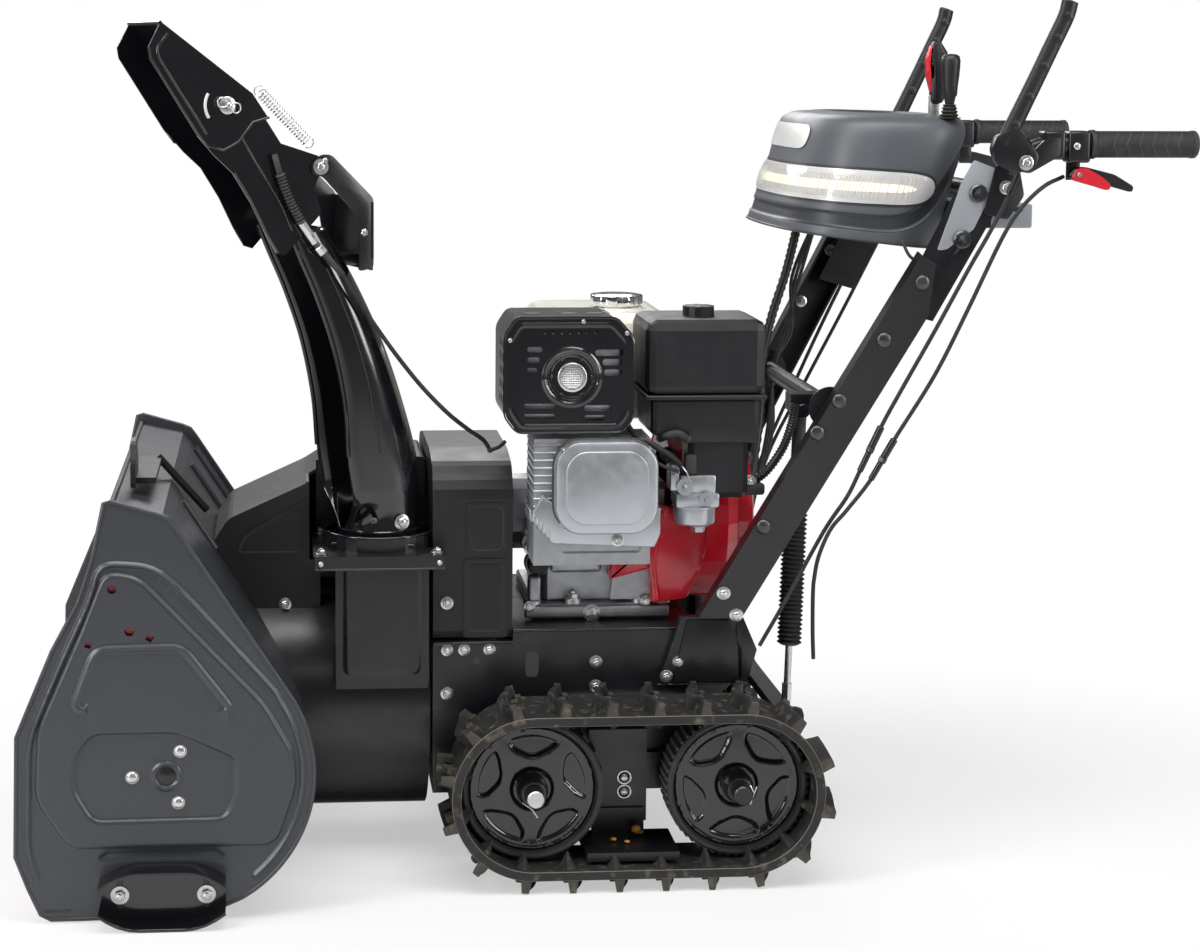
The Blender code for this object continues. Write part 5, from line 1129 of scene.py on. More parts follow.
for x in (-0.095, -0.045, -0.01):
    slot_shade.prism(rectangle(x - 0.011, x + 0.011, -0.165, -0.15, 0.007), "XY", 0.7651, 0.7654)
slot_shade.emit("guard_slot_shade", RUBBER, "chassis")
silencer = Shape().box((-0.128, -0.214, 0.62), (0.026, -0.09, 0.754), 0.012, 4)
silencer.emit("silencer", CAST, "chassis", 40)
OUTLET, WIRE, MESH_STEP = 0.016, 0.00065, 0.0024
outlet = Shape().lathe([(OUTLET, -0.006), (0.0186, -0.006), (0.0197, 0.004), (0.0197, 0.0075),
                        (0.0188, 0.0082), (OUTLET, 0.0082), (OUTLET, -0.006)], (DISH_X, -0.2208, DISH_Z), -Y,
                       56)
for k in range(-6, 7):
    shift = MESH_STEP * k
    reach = math.sqrt(OUTLET ** 2 - shift ** 2)
    outlet.tube([(DISH_X + shift, -0.225, DISH_Z - reach), (DISH_X + shift, -0.225, DISH_Z + reach)], WIRE, 6)
    outlet.tube([(DISH_X - reach, -0.2258, DISH_Z + shift), (DISH_X + reach, -0.2258, DISH_Z + shift)], WIRE,
                6)
outlet.emit("exhaust_screen", ZINC, "chassis", 40)

ROCKER = [
    (-0.05, 0.474), (0.046, 0.474), (0.068, 0.498), (0.068, 0.578), (0.046, 0.601), (-0.05, 0.601),
    (-0.072, 0.578), (-0.072, 0.498),
]
rocker_line = rounded(ROCKER, 0.024, 8)
cover = Shape().prism(rocker_line, "XZ", -0.247, -0.218, 0.006)
cover.prism(rounded([(-0.04, 0.488), (0.036, 0.488), (0.054, 0.506), (0.054, 0.57), (0.036, 0.588),
                     (-0.04, 0.588), (-0.058, 0.57), (-0.058, 0.506)], 0.02, 8), "XZ", -0.25, -0.246, 0.002)
cover.prism([(-0.1056, 0.4927), (-0.0727, 0.458), (0.0666, 0.4514), (0.0747, 0.47), (0.0747, 0.505),
             (-0.06, 0.505), (-0.0863, 0.5244)], "XZ", -0.223, -0.15, 0.0025)
for k in range(6):
    shift = 0.0052 * k
    cover.box((-0.1045 + shift, -0.2245, 0.488 - shift), (-0.1025 + shift, -0.16, 0.504 - shift), 0.0006, 1)
cover.emit("valve_cover", SILVER, "chassis", 35, 0.001, ["rocker_cover"])
gasket = Shape().tube([(a, -0.2225, b) for a, b in closed(rocker_line)], 0.0022, 8)
gasket.emit("valve_cover_gasket", RUBBER, "chassis", 60)

cast = Shape()
for k in range(3):
    z = 0.425 + 0.0105 * k
    cast.box((-0.06, -0.13, z), (0.012, -0.104, z + 0.005), 0.0015)
cast.box((-0.064, -0.125, 0.396), (0.008, -0.104, 0.42), 0.006, 3)
cast.lathe([(0, 0), (0.014, 0), (0.014, 0.018), (0.012, 0.024), (0, 0.024)], (-0.092, -0.098, 0.44), -Y, 32)
cast.lathe([(0, 0), (0.018, 0), (0.018, 0.01), (0.016, 0.012), (0, 0.012)], (-0.082, -0.105, 0.409), -Y, 36)
for x in (-0.088, -0.0313, 0.0637, 0.094):
    cast.lathe([(0, 0), (0.0125, 0), (0.0115, 0.006), (0, 0.006)], (x, -0.113, 0.3515), Z, 28)
for low, high, bevel in (((-0.1, -0.13, 0.333), (0.103, -0.118, 0.35), 0.0035),
                         ((-0.088, -0.118, 0.455), (-0.062, -0.104, 0.6), 0.005),
                         ((-0.095, -0.128, 0.356), (-0.078, -0.104, 0.392), 0.004)):
    cast.box(low, high, bevel, 3)
for k in range(9):
    z = 0.505 + 0.0105 * k
    for low, high in ((-0.099, -0.061), (0.053, 0.064)):
        cast.box((low, -0.214, z), (high, -0.128, z + 0.004), 0.0012, 1)
cast.emit("castings", CAST, "chassis")
bolts = Shape()
for at, normal, size, washer, height in (*[((x, -0.233, z), -Y, 0.0052, False, 0.006) for z in (0.487, 0.588)
                                           for x in (-0.06, 0.056)],
                                         *[((x, -0.113, 0.3575), Z, 0.0078, True, 0.0065)
                                           for x in (-0.0313, 0.0637)],
                                         ((-0.0067, -0.1302, 0.3405), -Y, 0.0082, True, 0.005),
                                         ((0.016, -0.2232, 0.462), -Y, 0.0056, True, 0.004),
                                         *[((x, -0.129, z), -Y, 0.0054, True, 0.004)
                                           for x, z in ((-0.094, 0.35), (-0.094, 0.432), (0.074, 0.44),
                                                        (0.07, 0.356))],
                                         *[((x, -0.221, z), -Y, 0.0034, False, 0.0022)
                                           for x, z in ((-0.033, 0.76), (-0.132, 0.735), (0.026, 0.744))]):
    bolts.bolt(at, normal, size, washer, height)
bolts.emit("engine_fixings", ZINC, "chassis")
oil = Shape().lathe([(0, 0), (0.015, 0), (0.015, 0.006), (0.0125, 0.009), (0.0075, 0.009), (0.0075, 0.013),
                     (0, 0.013)], (-0.082, -0.117, 0.409), -Y, 20)
oil.box((-0.094, -0.133, 0.4065), (-0.07, -0.127, 0.4115), 0.002)
oil.emit("oil_cap", PLASTIC, "chassis")

CRANK_Z = 0.462
duct = Shape()
duct.prism(rounded([(0.083, 0.495), (0.153, 0.479), (0.152, 0.43), (0.143, 0.404), (0.125, 0.362),
                    (0.076, 0.356), (0.072, 0.411), (0.072, 0.4415)], 0.006), "XZ", -0.148, -0.106, 0.005)
duct.prism(rounded([(0.076, 0.404), (0.016, 0.388), (0.022, 0.436), (0.076, 0.4415)], 0.005), "XZ", -0.14,
           -0.104, 0.005)
duct.tube([(0.084, -0.148, 0.362), (0.078, -0.148, 0.412), (0.08, -0.148, 0.438), (0.09, -0.148, 0.488)],
          0.0026, 8)
duct.ring((0.1095, 0, CRANK_Z), X, 0.09, 0.1268, 0.004, 72)
for k in range(28):
    place = Matrix.Translation((0, 0, CRANK_Z)) @ Matrix.Rotation(math.tau * k / 28, 4, "X")
    duct.box((0.229, -0.0022, 0.036), (0.2335, 0.0022, 0.074), 0.0008, 1, place)
duct.ring((0.23, 0, CRANK_Z), X, 0.028, 0.036, 0.003, 48)
duct.emit("fan_shroud", RED, "chassis")
# A dark ring between the grille's fins is painted shade inside the fan's intake.
Shape().ring((0.2309, 0, CRANK_Z), X, 0.03, 0.076, 0.001, 48).emit("fan_intake_shade", RUBBER, "chassis")

carburettor = Shape()
carburettor.lathe([(0, 0.474), (0.024, 0.474), (0.028, 0.4765), (0.029, 0.48), (0.029, 0.497), (0.031, 0.498),
                   (0.031, 0.501), (0, 0.501)], (0.129, -0.172, 0), Z, 48)
carburettor.lathe([(0, 0.4625), (0.009, 0.4625), (0.01, 0.464), (0.01, 0.47), (0.015, 0.4705),
                   (0.015, 0.4745), (0, 0.4745)], (0.1345, -0.172, 0), Z, 6)
carburettor.box((0.1, -0.196, 0.5), (0.16, -0.148, 0.52), 0.003)
carburettor.box((0.106, -0.1925, 0.518), (0.156, -0.152, 0.545), 0.004)
carburettor.disc((0.112, -0.188, 0.53), -Y, 0.012, 0.012, 28)
carburettor.disc((0.142, -0.19, 0.512), -Y, 0.01, 0.008, 24)
carburettor.box((0.092, -0.195, 0.524), (0.104, -0.16, 0.56), 0.002)
for at, size in (((0.112, -0.2005, 0.53), 0.005), ((0.142, -0.1985, 0.512), 0.0036),
                 ((0.098, -0.1955, 0.548), 0.0036)):
    carburettor.bolt(at, -Y, size, False)
carburettor.emit("carburettor", SILVER, "chassis")
levers = Shape().box((0.064, -0.15, 0.604), (0.118, -0.146, 0.626), 0.001)
levers.tube([(0.106, -0.196, 0.56), (0.112, -0.205, 0.552), (0.122, -0.205, 0.53)], 0.0012, 6)
levers.rod((0.206, -0.172, 0.532), (0.206, -0.176, 0.532), 0.009)
levers.bolt((0.206, -0.1762, 0.532), -Y, 0.0062, False)
levers.emit("control_plate", ZINC, "chassis")
hoses = Shape()
for route, steps, radius, sides in (([(0.032, -0.15, 0.62), (0.04, -0.196, 0.604), (0.062, -0.212, 0.592),
                                      (0.09, -0.206, 0.574), (0.108, -0.19, 0.556), (0.112, -0.178, 0.54)], 6,
                                     0.0042, 12),
                                    ([(0.084, -0.15, 0.59), (0.084, -0.196, 0.6), (0.1, -0.205, 0.604),
                                      (0.114, -0.2, 0.596)], 6, 0.006, 12),
                                    ([(0.05, -0.19, 0.6), (0.058, -0.214, 0.576), (0.082, -0.214, 0.56),
                                      (0.102, -0.2, 0.552)], 6, 0.0024, 10),
                                    ([(-0.13, -0.135, 0.585), (-0.14, -0.142, 0.578),
                                      (-0.155, -0.146, 0.574)], 4, 0.0028, 10)):
    hoses.tube(through(route, steps), radius, sides)
hoses.box((0.112, -0.196, 0.546), (0.128, -0.176, 0.574), 0.004)
hoses.box((0.196, -0.182, 0.514), (0.226, -0.166, 0.53), 0.004)
hoses.lathe([(0, 0), (0.0105, 0), (0.0105, 0.024), (0.0085, 0.03), (0, 0.03)], (0.096, -0.14, 0.566), -Y, 28)
hoses.emit("hoses", RUBBER, "chassis", 40)
conduit = Shape()
for route, steps, crest, trough in (([(0.204, -0.165, 0.526), (0.228, -0.172, 0.545), (0.25, -0.176, 0.578),
                                      (0.262, -0.176, 0.612), (0.268, -0.17, 0.64)], 16, 0.0066, 0.0052),
                                    ([(0.345, 0.205, 0.85), (0.33, 0.2, 0.79), (0.306, 0.188, 0.72),
                                      (0.292, 0.176, 0.66), (0.282, 0.15, 0.56), (0.262, 0.12, 0.47),
                                      (0.24, 0.1, 0.4)], 14, 0.0074, 0.006)):
    conduit.ribbed(through(route, steps), crest, trough)
conduit.emit("conduits", PLASTIC, "chassis", 60)


def scalloped(x, y, radius_at, count):
    """A closed outline about (x, y), its radius given by the angle."""
    angles = [math.tau * k / count for k in range(count)]
    return [(x + radius_at(a) * math.cos(a), y + radius_at(a) * math.sin(a)) for a in angles]


def cap_radius(angle):
    wave = math.cos(5 * angle)
    return 0.0372 + 0.0018 * math.copysign(abs(wave) ** 0.6, wave)


box_trim = Shape().prism(scalloped(0.138, -0.13, lambda a: 0.0185 + 0.0035 * math.cos(8 * a), 60), "XY",
                         0.763, 0.7725, 0.0012)
box_trim.lathe([(0, 0.7585), (0.012, 0.7585), (0.01, 0.764), (0, 0.764)], (0.138, -0.13, 0), Z, 28)
box_trim.box((0.0545, -0.206, 0.65), (0.2225, -0.054, 0.657), 0.003, 3)
box_trim.prism([(0.1115, 0.59), (0.2085, 0.59), (0.213, 0.616), (0.088, 0.616), (0.101, 0.606)], "XZ",
               -0.1975, -0.124, 0.003)
box_trim.emit("air_box_trim", PLASTIC, "chassis")
CAP_X, CAP_Y = 0.048, 0.05
cap = Shape().prism(scalloped(CAP_X, CAP_Y, cap_radius, 120), "XY", 0.756, 0.7705, 0.0018)
cap.lathe([(0, 0.7545), (0.035, 0.7545), (0.0362, 0.7575), (0.0362, 0.769), (0.03, 0.7715), (0, 0.772)],
          (CAP_X, CAP_Y, 0), Z, 60)
cap.emit("tank_cap", CHROME, "fuel_cap", 35, 0, ["fuel_cap"])
seam = Shape().prism(rectangle(-0.0755, 0.1255, -0.0495, 0.2015, 0.024, 6), "XY", 0.662, 0.6645, 0.0008)
seam.lathe([(0.03, 0.749), (0.04, 0.749), (0.0385, 0.753), (0.031, 0.754), (0.03, 0.749)], (CAP_X, CAP_Y, 0),
           Z, 48)
seam.emit("tank_seam", CREAM, "chassis")

# ---------------------------------------------------------------- columns and strut


COLUMN_RUN = Vector((0.2645, 0.072, 0.481))
COLUMN_FOOT_Y, COLUMN_FOOT_Z = 0.19, 0.344


def on_column(x, z, side, out):
    """A point on the column's outer face, at an x and z in the side view."""
    y = COLUMN_FOOT_Y + COLUMN_RUN.y * (z - COLUMN_FOOT_Z) / COLUMN_RUN.z
    return x, side * (y + out), z


ALONG = COLUMN_RUN.normalized()
studs, heads, bar, foot = Shape(), Shape(), Shape(), Shape()
for side in (-1, 1):
    outward = (side * Y - Vector((ALONG.x, side * ALONG.y, ALONG.z)) * ALONG.y).normalized()
    for x, z in ((0.414, 0.816), (0.367, 0.738), (0.311, 0.654), (0.283, 0.61), (0.216, 0.478)):
        studs.dome(on_column(x, z, side, 0.014), outward, 0.0105, 0.0046)
        heads.bolt(on_column(x, z, side, 0.0105), -outward, 0.006, True, 0.0045)
    for x, z in ((0.184, 0.352), (0.165, 0.384)):
        heads.bolt(on_column(x, z, side, 0.0142), outward, 0.0064)
    bar.lathe([(0, 0), (0.029, 0), (0.029, 0.003), (0.015, 0.004), (0.0135, 0.01), (0, 0.01)],
              (0.306, side * 0.2165, 0.64), -side * Y, 40)
    for z in (0.663, 0.617):
        bar.bolt((0.306, side * 0.213, z), -side * Y, 0.005, False)
    foot.plate([(0.098, 0.256), (0.196, 0.256), (0.196, 0.3), (0.176, 0.343), (0.118, 0.343)], side, 0.1924,
               0.1955, 0.001)
    foot.plate([(0.19, 0.256), (0.206, 0.262), (0.216, 0.3), (0.196, 0.346), (0.186, 0.343)], side, 0.15,
               0.1955, 0.001)
studs.emit("column_studs", DARK_METAL, "chassis")
heads.emit("column_nuts", ZINC, "chassis")
bar.rod((0.279, -0.172, 0.629), (0.279, -0.128, 0.629), 0.01, edge=0.001)
bar.emit("crossbar_flanges", SATIN, "chassis")
foot.emit("column_feet", SATIN, "chassis")

STRUT_Y, FOLDS = -0.15, 60
bottom, top = Vector((0.2705, STRUT_Y, 0.296)), Vector((0.2758, STRUT_Y, 0.49))
radii = [0.0125, *[0.0174 if k % 2 else 0.0135 for k in range(1, FOLDS)], 0.0125]
strut = Shape().tube([bottom + (top - bottom) * k / FOLDS for k in range(FOLDS + 1)], 0.017, 28, radii)
strut.tube([(0.2757, STRUT_Y, 0.488), (0.2789, STRUT_Y, 0.6185)], 0.0095, 20)
strut.tube([(0.2757, STRUT_Y, 0.486), (0.276, STRUT_Y, 0.5)], 0.014, 24)
strut.emit("strut_bellows", RUBBER, "chassis", 60, 0, ["strut_cylinder"])
strut_pin = Shape().rod((0.2681, -0.162, 0.206), (0.2681, -0.138, 0.206), 0.0065, edge=0.001)
strut_pin.emit("strut_pin", ZINC, "track_frame")
clevis = Shape().rod((0.2682, STRUT_Y, 0.214), (0.2687, STRUT_Y, 0.24), 0.0072, sides=6)
clevis.emit("strut_clevis", ZINC, "strut_rod")

# ---------------------------------------------------------------- console

# Each level of the console is (front, rear, half width, height in front, height behind).
LEVELS = [
    (0.242, 0.472, 0.206, 0.88, 0.852), (0.25, 0.484, 0.204, 0.908, 0.888), (0.268, 0.502, 0.198, 0.96, 0.95),
    (0.284, 0.518, 0.19, 1.018, 1.006), (0.3, 0.514, 0.176, 1.034, 1.028), (0.33, 0.497, 0.15, 1.0375, 1.034),
]
LEVEL_STEPS, TOP_LEVEL = 12, 5
SMOOTH_LEVELS = through(LEVELS, LEVEL_STEPS)
AROUND, UP = 180, 60
GROOVE_HALF, GROOVE_DEPTH = 0.3, 0.0026


REAR_SQUARENESS, FRONT_SQUARENESS = 3.4, 2.6


def plan(angle, front, rear, half, grow=0.0):
    """The console's outline from above, a superellipse that is squarer at the rear."""
    cosine, sine = math.cos(angle), math.sin(angle)
    power = 2 / (REAR_SQUARENESS if cosine > 0 else FRONT_SQUARENESS)
    reach = (rear - front) / 2 + grow
    return ((front + rear) / 2 + reach * math.copysign(abs(cosine) ** power, cosine),
            (half + grow) * math.copysign(abs(sine) ** power, sine))


def on_console(angle, level, grow=0.0):
    """A point on the console's skin. Level counts from 0 at the rim to 5 at the top's edge."""
    at = min(max(level, 0.0), TOP_LEVEL) * LEVEL_STEPS
    low = min(int(at), len(SMOOTH_LEVELS) - 2)
    front, rear, half, front_z, rear_z = SMOOTH_LEVELS[low].lerp(SMOOTH_LEVELS[low + 1], at - low)
    x, y = plan(angle, front, rear, half, grow)
    return x, y, front_z + (rear_z - front_z) * (x - front) / (rear - front)


def swoosh_centre(angle):
    """The level of the swoosh groove's middle, where a dark strip is painted shade: low in front, rising
    towards the rear.
    """
    return 0.78 + 2.3 * max(0.0, math.cos(angle)) ** 1.5


def sunk(angle, level):
    """How far the swoosh's groove lies below the skin."""
    away = abs(level - swoosh_centre(angle)) / GROOVE_HALF
    return -GROOVE_DEPTH * min(1, 2 * max(0.0, 1 - away ** 2))


work = bmesh.new()
TURN = [math.tau * i / AROUND for i in range(AROUND)]
rows = []
for v in range(UP + 1):
    level = TOP_LEVEL * v / UP
    rows.append([work.verts.new(on_console(angle, level, sunk(angle, level))) for angle in TURN])
skin(work, rows, True)
inner, middle_x = rows[-1], 0.4135
for shrink, rise in ((0.93, 0.0006), (0.8, 0.001), (0.76, -0.0016), (0.45, -0.002), (0.1, -0.002)):
    ring = [work.verts.new((middle_x + (vert.co.x - middle_x) * shrink, vert.co.y * shrink,
                            vert.co.z + rise)) for vert in rows[-1]]
    skin(work, [inner, ring], True, 1 if shrink < 0.78 else 0)
    inner = ring
work.faces.new(inner).material_index = 1
bmesh.ops.recalc_face_normals(work, faces=work.faces)
mesh = bpy.data.meshes.new("console")
work.to_mesh(mesh)
work.free()
shades = [face.material_index for face in mesh.polygons]
show("console", mesh, GREY, "chassis", 50, 0, ["console_shell"])
mesh.materials.append(DARK_GREY)
mesh.polygons.foreach_set("material_index", shades)
console_rim = Shape().tube([on_console(math.tau * i / 120, 0.02, 0.0006) for i in range(121)], 0.0018, 8)
console_rim.emit("console_rim", DARK_GREY, "chassis", 60)
# A dark strip along the groove: painted shade in its crease.
rings = []
for angle in TURN:
    levels = [swoosh_centre(angle) + GROOVE_HALF * (2 * k / 10 - 1) for k in range(11)]
    outer = [on_console(angle, level, sunk(angle, level) + 0.0005) for level in levels]
    inner = [on_console(angle, level, sunk(angle, level) - 0.0005) for level in levels[::-1]]
    rings.append(outer + inner)
Shape().put(loft(bmesh.new(), rings, True)).emit("console_groove_shade", DARK_GREY, "chassis", 60)


def band(name, start, end, low, high, grow, paint, taper=10, bulge=0.0):
    """A strip on the console's skin from start to end degrees, its ends rounded."""
    steps, across = 180, 8
    work = bmesh.new()
    made = []
    for i in range(steps + 1):
        share = i / steps
        angle = math.radians(start + (end - start) * share)
        width = max(0.02, 1 - abs(2 * share - 1) ** taper) ** 0.5
        middle, half = (low + high) / 2, (high - low) / 2 * width
        made.append([work.verts.new(on_console(angle, middle + half * u,
                                               grow + bulge * width * (1 - u ** 2)))
                     for u in (2 * k / across - 1 for k in range(across + 1))])
    skin(work, made)
    bmesh.ops.recalc_face_normals(work, faces=work.faces)
    mesh = bpy.data.meshes.new(name)
    work.to_mesh(mesh)
    work.free()
    return show(name, mesh, paint, "chassis", 60)


band("lamp_reflector", 66, 294, 1.34, 2.1, 0.0013, REFLECTOR)
band("lamp_surround", 64, 296, 1.28, 2.16, 0.0006, DARK_GREY)
lens = band("lamp_lens", 67, 293, 1.37, 2.07, 0.0026, LENS, bulge=0.003)
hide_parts("headlight_lens")
band("lamp_strip", 80, 280, 1.61, 1.82, 0.0019, LED, 12)
ribs = Shape()
for angle in (math.radians(82 + 196 * i / 99) for i in range(100)):
    ribs.rod(on_console(angle, 1.46, 0.0021), on_console(angle, 1.98, 0.0021), 0.0008, sides=6)
ribs.emit("lamp_ribs", REFLECTOR, "chassis", 60)
band("front_visor", 150, 210, 2.45, 3.1, 0.0014, REFLECTOR, 12)

PANEL = finish_of("panel_grey", (0.3, 0.32, 0.345), 0.4, 0.0, (0.06, 10.0), (0.05, 30.0),
                  (1300.0, 0.0003, 0.35))
# The bracket's plates are grey, but only their upper part gets the grey side panels; the black bracket left
# below is painted shade under the console's skirt.
SIDE_PANEL = [
    (0.4905, 0.9779), (0.5255, 0.9643), (0.5126, 0.9263), (0.4924, 0.884), (0.456, 0.857), (0.443, 0.856),
    (0.459, 0.9025), (0.474, 0.9466),
]
HANDLE_PLATE = [(0.505, 0.905), (0.538, 0.897), (0.56, 0.93), (0.552, 0.968), (0.52, 0.972)]
panels, side_bolts, plates, plate_bolts = Shape(), Shape(), Shape(), Shape()
for side in (-1, 1):
    outward = side * Y
    panels.plate(rounded(SIDE_PANEL, 0.004), side, 0.234, 0.2366, 0.0008)
    for x, z in ((0.497, 0.933), (0.477, 0.871)):
        side_bolts.lathe([(0, 0), (0.0125, 0), (0.0125, 0.002), (0.01, 0.004), (0, 0.004)],
                         (x, side * 0.2366, z), outward, 32)
        side_bolts.bolt((x, side * 0.2396, z), outward, 0.0062, False, 0.005)
    plates.plate(rounded(HANDLE_PLATE, 0.005), side, 0.2356, 0.24, 0.0008)
    plates.box((0.495, side * 0.19, 0.908), (0.56, side * 0.236, 0.914), 0.001)
    plate_bolts.bolt((0.534, side * 0.2401, 0.941), outward, 0.0062)
panels.box((0.499, -0.1912, 0.8828), (0.5872, 0.1912, 0.9152), 0.0025)
panels.emit("side_panels", PANEL, "chassis")
side_bolts.emit("console_bolts", DARK_METAL, "chassis")
plates.emit("handle_plates", SATIN, "chassis")
plate_bolts.emit("handle_plate_bolts", ZINC, "chassis")

# ---------------------------------------------------------------- handlebar, levers and controls

HALF_BAR = [
    (0.774, 0.27, 1.0), (0.64, 0.27, 1.0), (0.59, 0.27, 0.999), (0.568, 0.264, 0.995), (0.552, 0.25, 0.984),
    (0.544, 0.232, 0.966), (0.539, 0.21, 0.945), (0.536, 0.18, 0.934), (0.535, 0.14, 0.9305),
]
LEVER_X, LEVER_Z = 0.54, 0.977
CLAMP_EAR = [(0.528, 0.966), (0.552, 0.962), (0.592, 0.985), (0.592, 1.01), (0.575, 1.01)]
route = through([*HALF_BAR, (0.535, 0.0, 0.93), *[(x, -y, z) for x, y, z in HALF_BAR[::-1]]], 6)
bar, pins = Shape().tube(route, 0.0125, 24), Shape()
for side in (-1, 1):
    for low, high in (((0.57, 0.98), (0.6, 1.018)), ((0.604, 0.976), (0.634, 1.018))):
        bar.box((low[0], side * 0.2545, low[1]), (high[0], side * 0.286, high[1]), 0.004, 3)
    bar.plate(rounded(CLAMP_EAR, 0.004), side, 0.28, 0.2868, 0.0008)
    bar.box((0.61, side * 0.256, 0.952), (0.629, side * 0.258, 0.985), 0.0006)
    pins.rod((LEVER_X, side * 0.282, LEVER_Z), (LEVER_X, side * 0.3075, LEVER_Z), 0.004, edge=0.0005)
    pins.rod((0.62, side * 0.257, 0.96), (0.62, side * 0.286, 0.96), 0.003, edge=0.0004)
    pins.dome((0.615, side * 0.286, 0.998), side * Y, 0.005, 0.0024)
    pins.bolt((LEVER_X, side * 0.3062, LEVER_Z), side * Y, 0.0066, True, 0.0045)
bar.emit("handlebar_tube", SATIN, "chassis", 40, 0, ["handlebar"])
pins.emit("lever_pins", ZINC, "chassis")

GRIP_PROFILE = [
    (0.0128, 0.0), (0.0185, 0.0), (0.0195, 0.001), (0.0195, 0.006), (0.0182, 0.0075), (0.0178, 0.012),
    (0.0178, 0.138), (0.0185, 0.1385), (0.0185, 0.144), (0.0165, 0.146), (0, 0.146),
]
STALK = through([(0.512, 0, 1.0), (0.528, 0, 1.034), (0.551, 0, 1.083), (0.573, 0, 1.131), (0.59, 0, 1.168),
                 (0.5945, 0, 1.186), (0.5955, 0, 1.1895)], 5)
STALK_RADII = [*[0.012 - 0.0008 * min(1, k / 8) for k in range(len(STALK) - 4)], 0.0105, 0.0092, 0.007, 0.003]
LEVER_BASE = [
    (0.494, 0.994), (0.502, 0.974), (0.528, 0.964), (0.552, 0.966), (0.558, 0.986), (0.545, 1.006),
    (0.53, 1.024), (0.5, 1.012),
]
GRIP_Y, RIDGE, RIDGE_SPREAD = 0.27, 0.0177, 58
SPREADS = np.linspace(-RIDGE_SPREAD, RIDGE_SPREAD, 15)
for name, side in SIDES:
    grip = Shape().lathe(GRIP_PROFILE, (0.636, side * GRIP_Y, 1.0), X, 48)
    for k in range(6):
        for face in (-1, 1):
            ridge = [(0.664 + 0.0175 * k + 0.008 * abs(spread) / RIDGE_SPREAD,
                      side * GRIP_Y + face * RIDGE * math.cos(math.radians(spread)),
                      1.0 + RIDGE * math.sin(math.radians(spread))) for spread in SPREADS]
            grip.tube(ridge, 0.0009, 6)
    grip.emit("hand_grip_" + name, RUBBER, "chassis", 40, 0, ["grip_" + name])
    flattened = Matrix.Translation((0, side * 0.297, 0)) @ Matrix.Diagonal((1, 0.72, 1, 1))
    lever = Shape(flattened).tube(STALK, 0.012, 28, STALK_RADII)
    for at in STALK[4:24:4]:
        for face in (-1, 1):
            lever.lathe([(0, 0.0022), (0.004, 0.0014), (0.0062, 0), (0, 0)],
                        at + Vector((0.001, face * 0.0112, 0)), face * Y, 24)
    lever.emit("lever_paddle_" + name, PLASTIC, "clutch_lever_" + name, 45, 0, ["clutch_lever_" + name])
    base = Shape().plate(rounded(LEVER_BASE, 0.006), side, 0.2885, 0.3055, 0.0015)
    base.emit("lever_bracket_" + name, SATIN, "clutch_lever_" + name)

stem = Shape().box((0.459, -0.1175, 0.957), (0.475, -0.1125, 1.062), 0.0008)
stem.emit("gear_stem", ZINC, "gear_lever", 35, 0, ["gear_lever"])
grip = Shape().prism(rounded([(0.46, 1.05), (0.478, 1.05), (0.489, 1.085), (0.486, 1.112), (0.474, 1.136),
                              (0.463, 1.137), (0.457, 1.12), (0.462, 1.095)], 0.01, 6), "XZ", -0.1235,
                     -0.1045, 0.006)
grip.emit("gear_grip", PLASTIC, "gear_lever", 40)
face = Shape().prism(rounded([(0.461, 1.064), (0.455, 1.09), (0.453, 1.112), (0.46, 1.132), (0.466, 1.126),
                              (0.462, 1.106), (0.465, 1.086), (0.468, 1.068)], 0.004, 4), "XZ", -0.122,
                     -0.106, 0.004)
face.emit("gear_grip_face", RED_MOULDING, "gear_lever", 40)
STICK = Vector((0.476, -0.16, 1.03))
stick = Shape().lathe([(0, 0.0195), (0.006, 0.02), (0.0078, 0.03), (0.0098, 0.033), (0.0106, 0.046),
                       (0.0122, 0.06), (0.013, 0.073), (0.0132, 0.08), (0.0116, 0.086), (0.0072, 0.0885),
                       (0, 0.089)], STICK, Z, 48)
stick.emit("stick_grip", PLASTIC, "joystick", 50, 0, ["joystick"])
folds = [((0.0108 if k % 2 else 0.0138) * (1 - 0.3 * k / 8), 0.001 + 0.019 * k / 8) for k in range(9)]
boot = Shape().lathe([(0, 0.0005), *folds, (0, 0.021)], STICK, Z, 40)
boot.emit("stick_boot", RUBBER, "joystick_boot", 60, 0, ["joystick_boot"])
# Dark plates on the console's uncut skin are painted shade inside the gear lever's slot and the stick's hole.
hole_shade = Shape().prism(rectangle(0.434, 0.5, -0.1205, -0.1095, 0.004), "XY", 1.0345, 1.0352)
hole_shade.prism(circle(STICK.x, STICK.y, 0.0165, 32), "XY", 1.032, 1.0326)
hole_shade.emit("console_hole_shade", RUBBER, "chassis")

# ---------------------------------------------------------------- cables

DEFLECTOR_CABLE = [
    (-0.445, -0.263, 0.985), (-0.438, -0.26, 0.96), (-0.426, -0.255, 0.927), (-0.41, -0.248, 0.895),
    (-0.392, -0.243, 0.868), (-0.374, -0.238, 0.845), (-0.356, -0.231, 0.825), (-0.337, -0.219, 0.794),
    (-0.313, -0.206, 0.756), (-0.282, -0.198, 0.712), (-0.248, -0.19, 0.669), (-0.213, -0.18, 0.632),
    (-0.184, -0.165, 0.607), (-0.162, -0.15, 0.59), (-0.15, -0.142, 0.572),
]
CLUTCH_CABLE = [
    (0.533, -0.295, 0.961), (0.517, -0.295, 0.924), (0.498, -0.292, 0.884), (0.472, -0.29, 0.836),
    (0.43, -0.286, 0.754), (0.39, -0.278, 0.676), (0.364, -0.27, 0.622), (0.338, -0.262, 0.56),
    (0.323, -0.255, 0.524), (0.295, -0.242, 0.474), (0.247, -0.226, 0.374), (0.216, -0.212, 0.31),
]
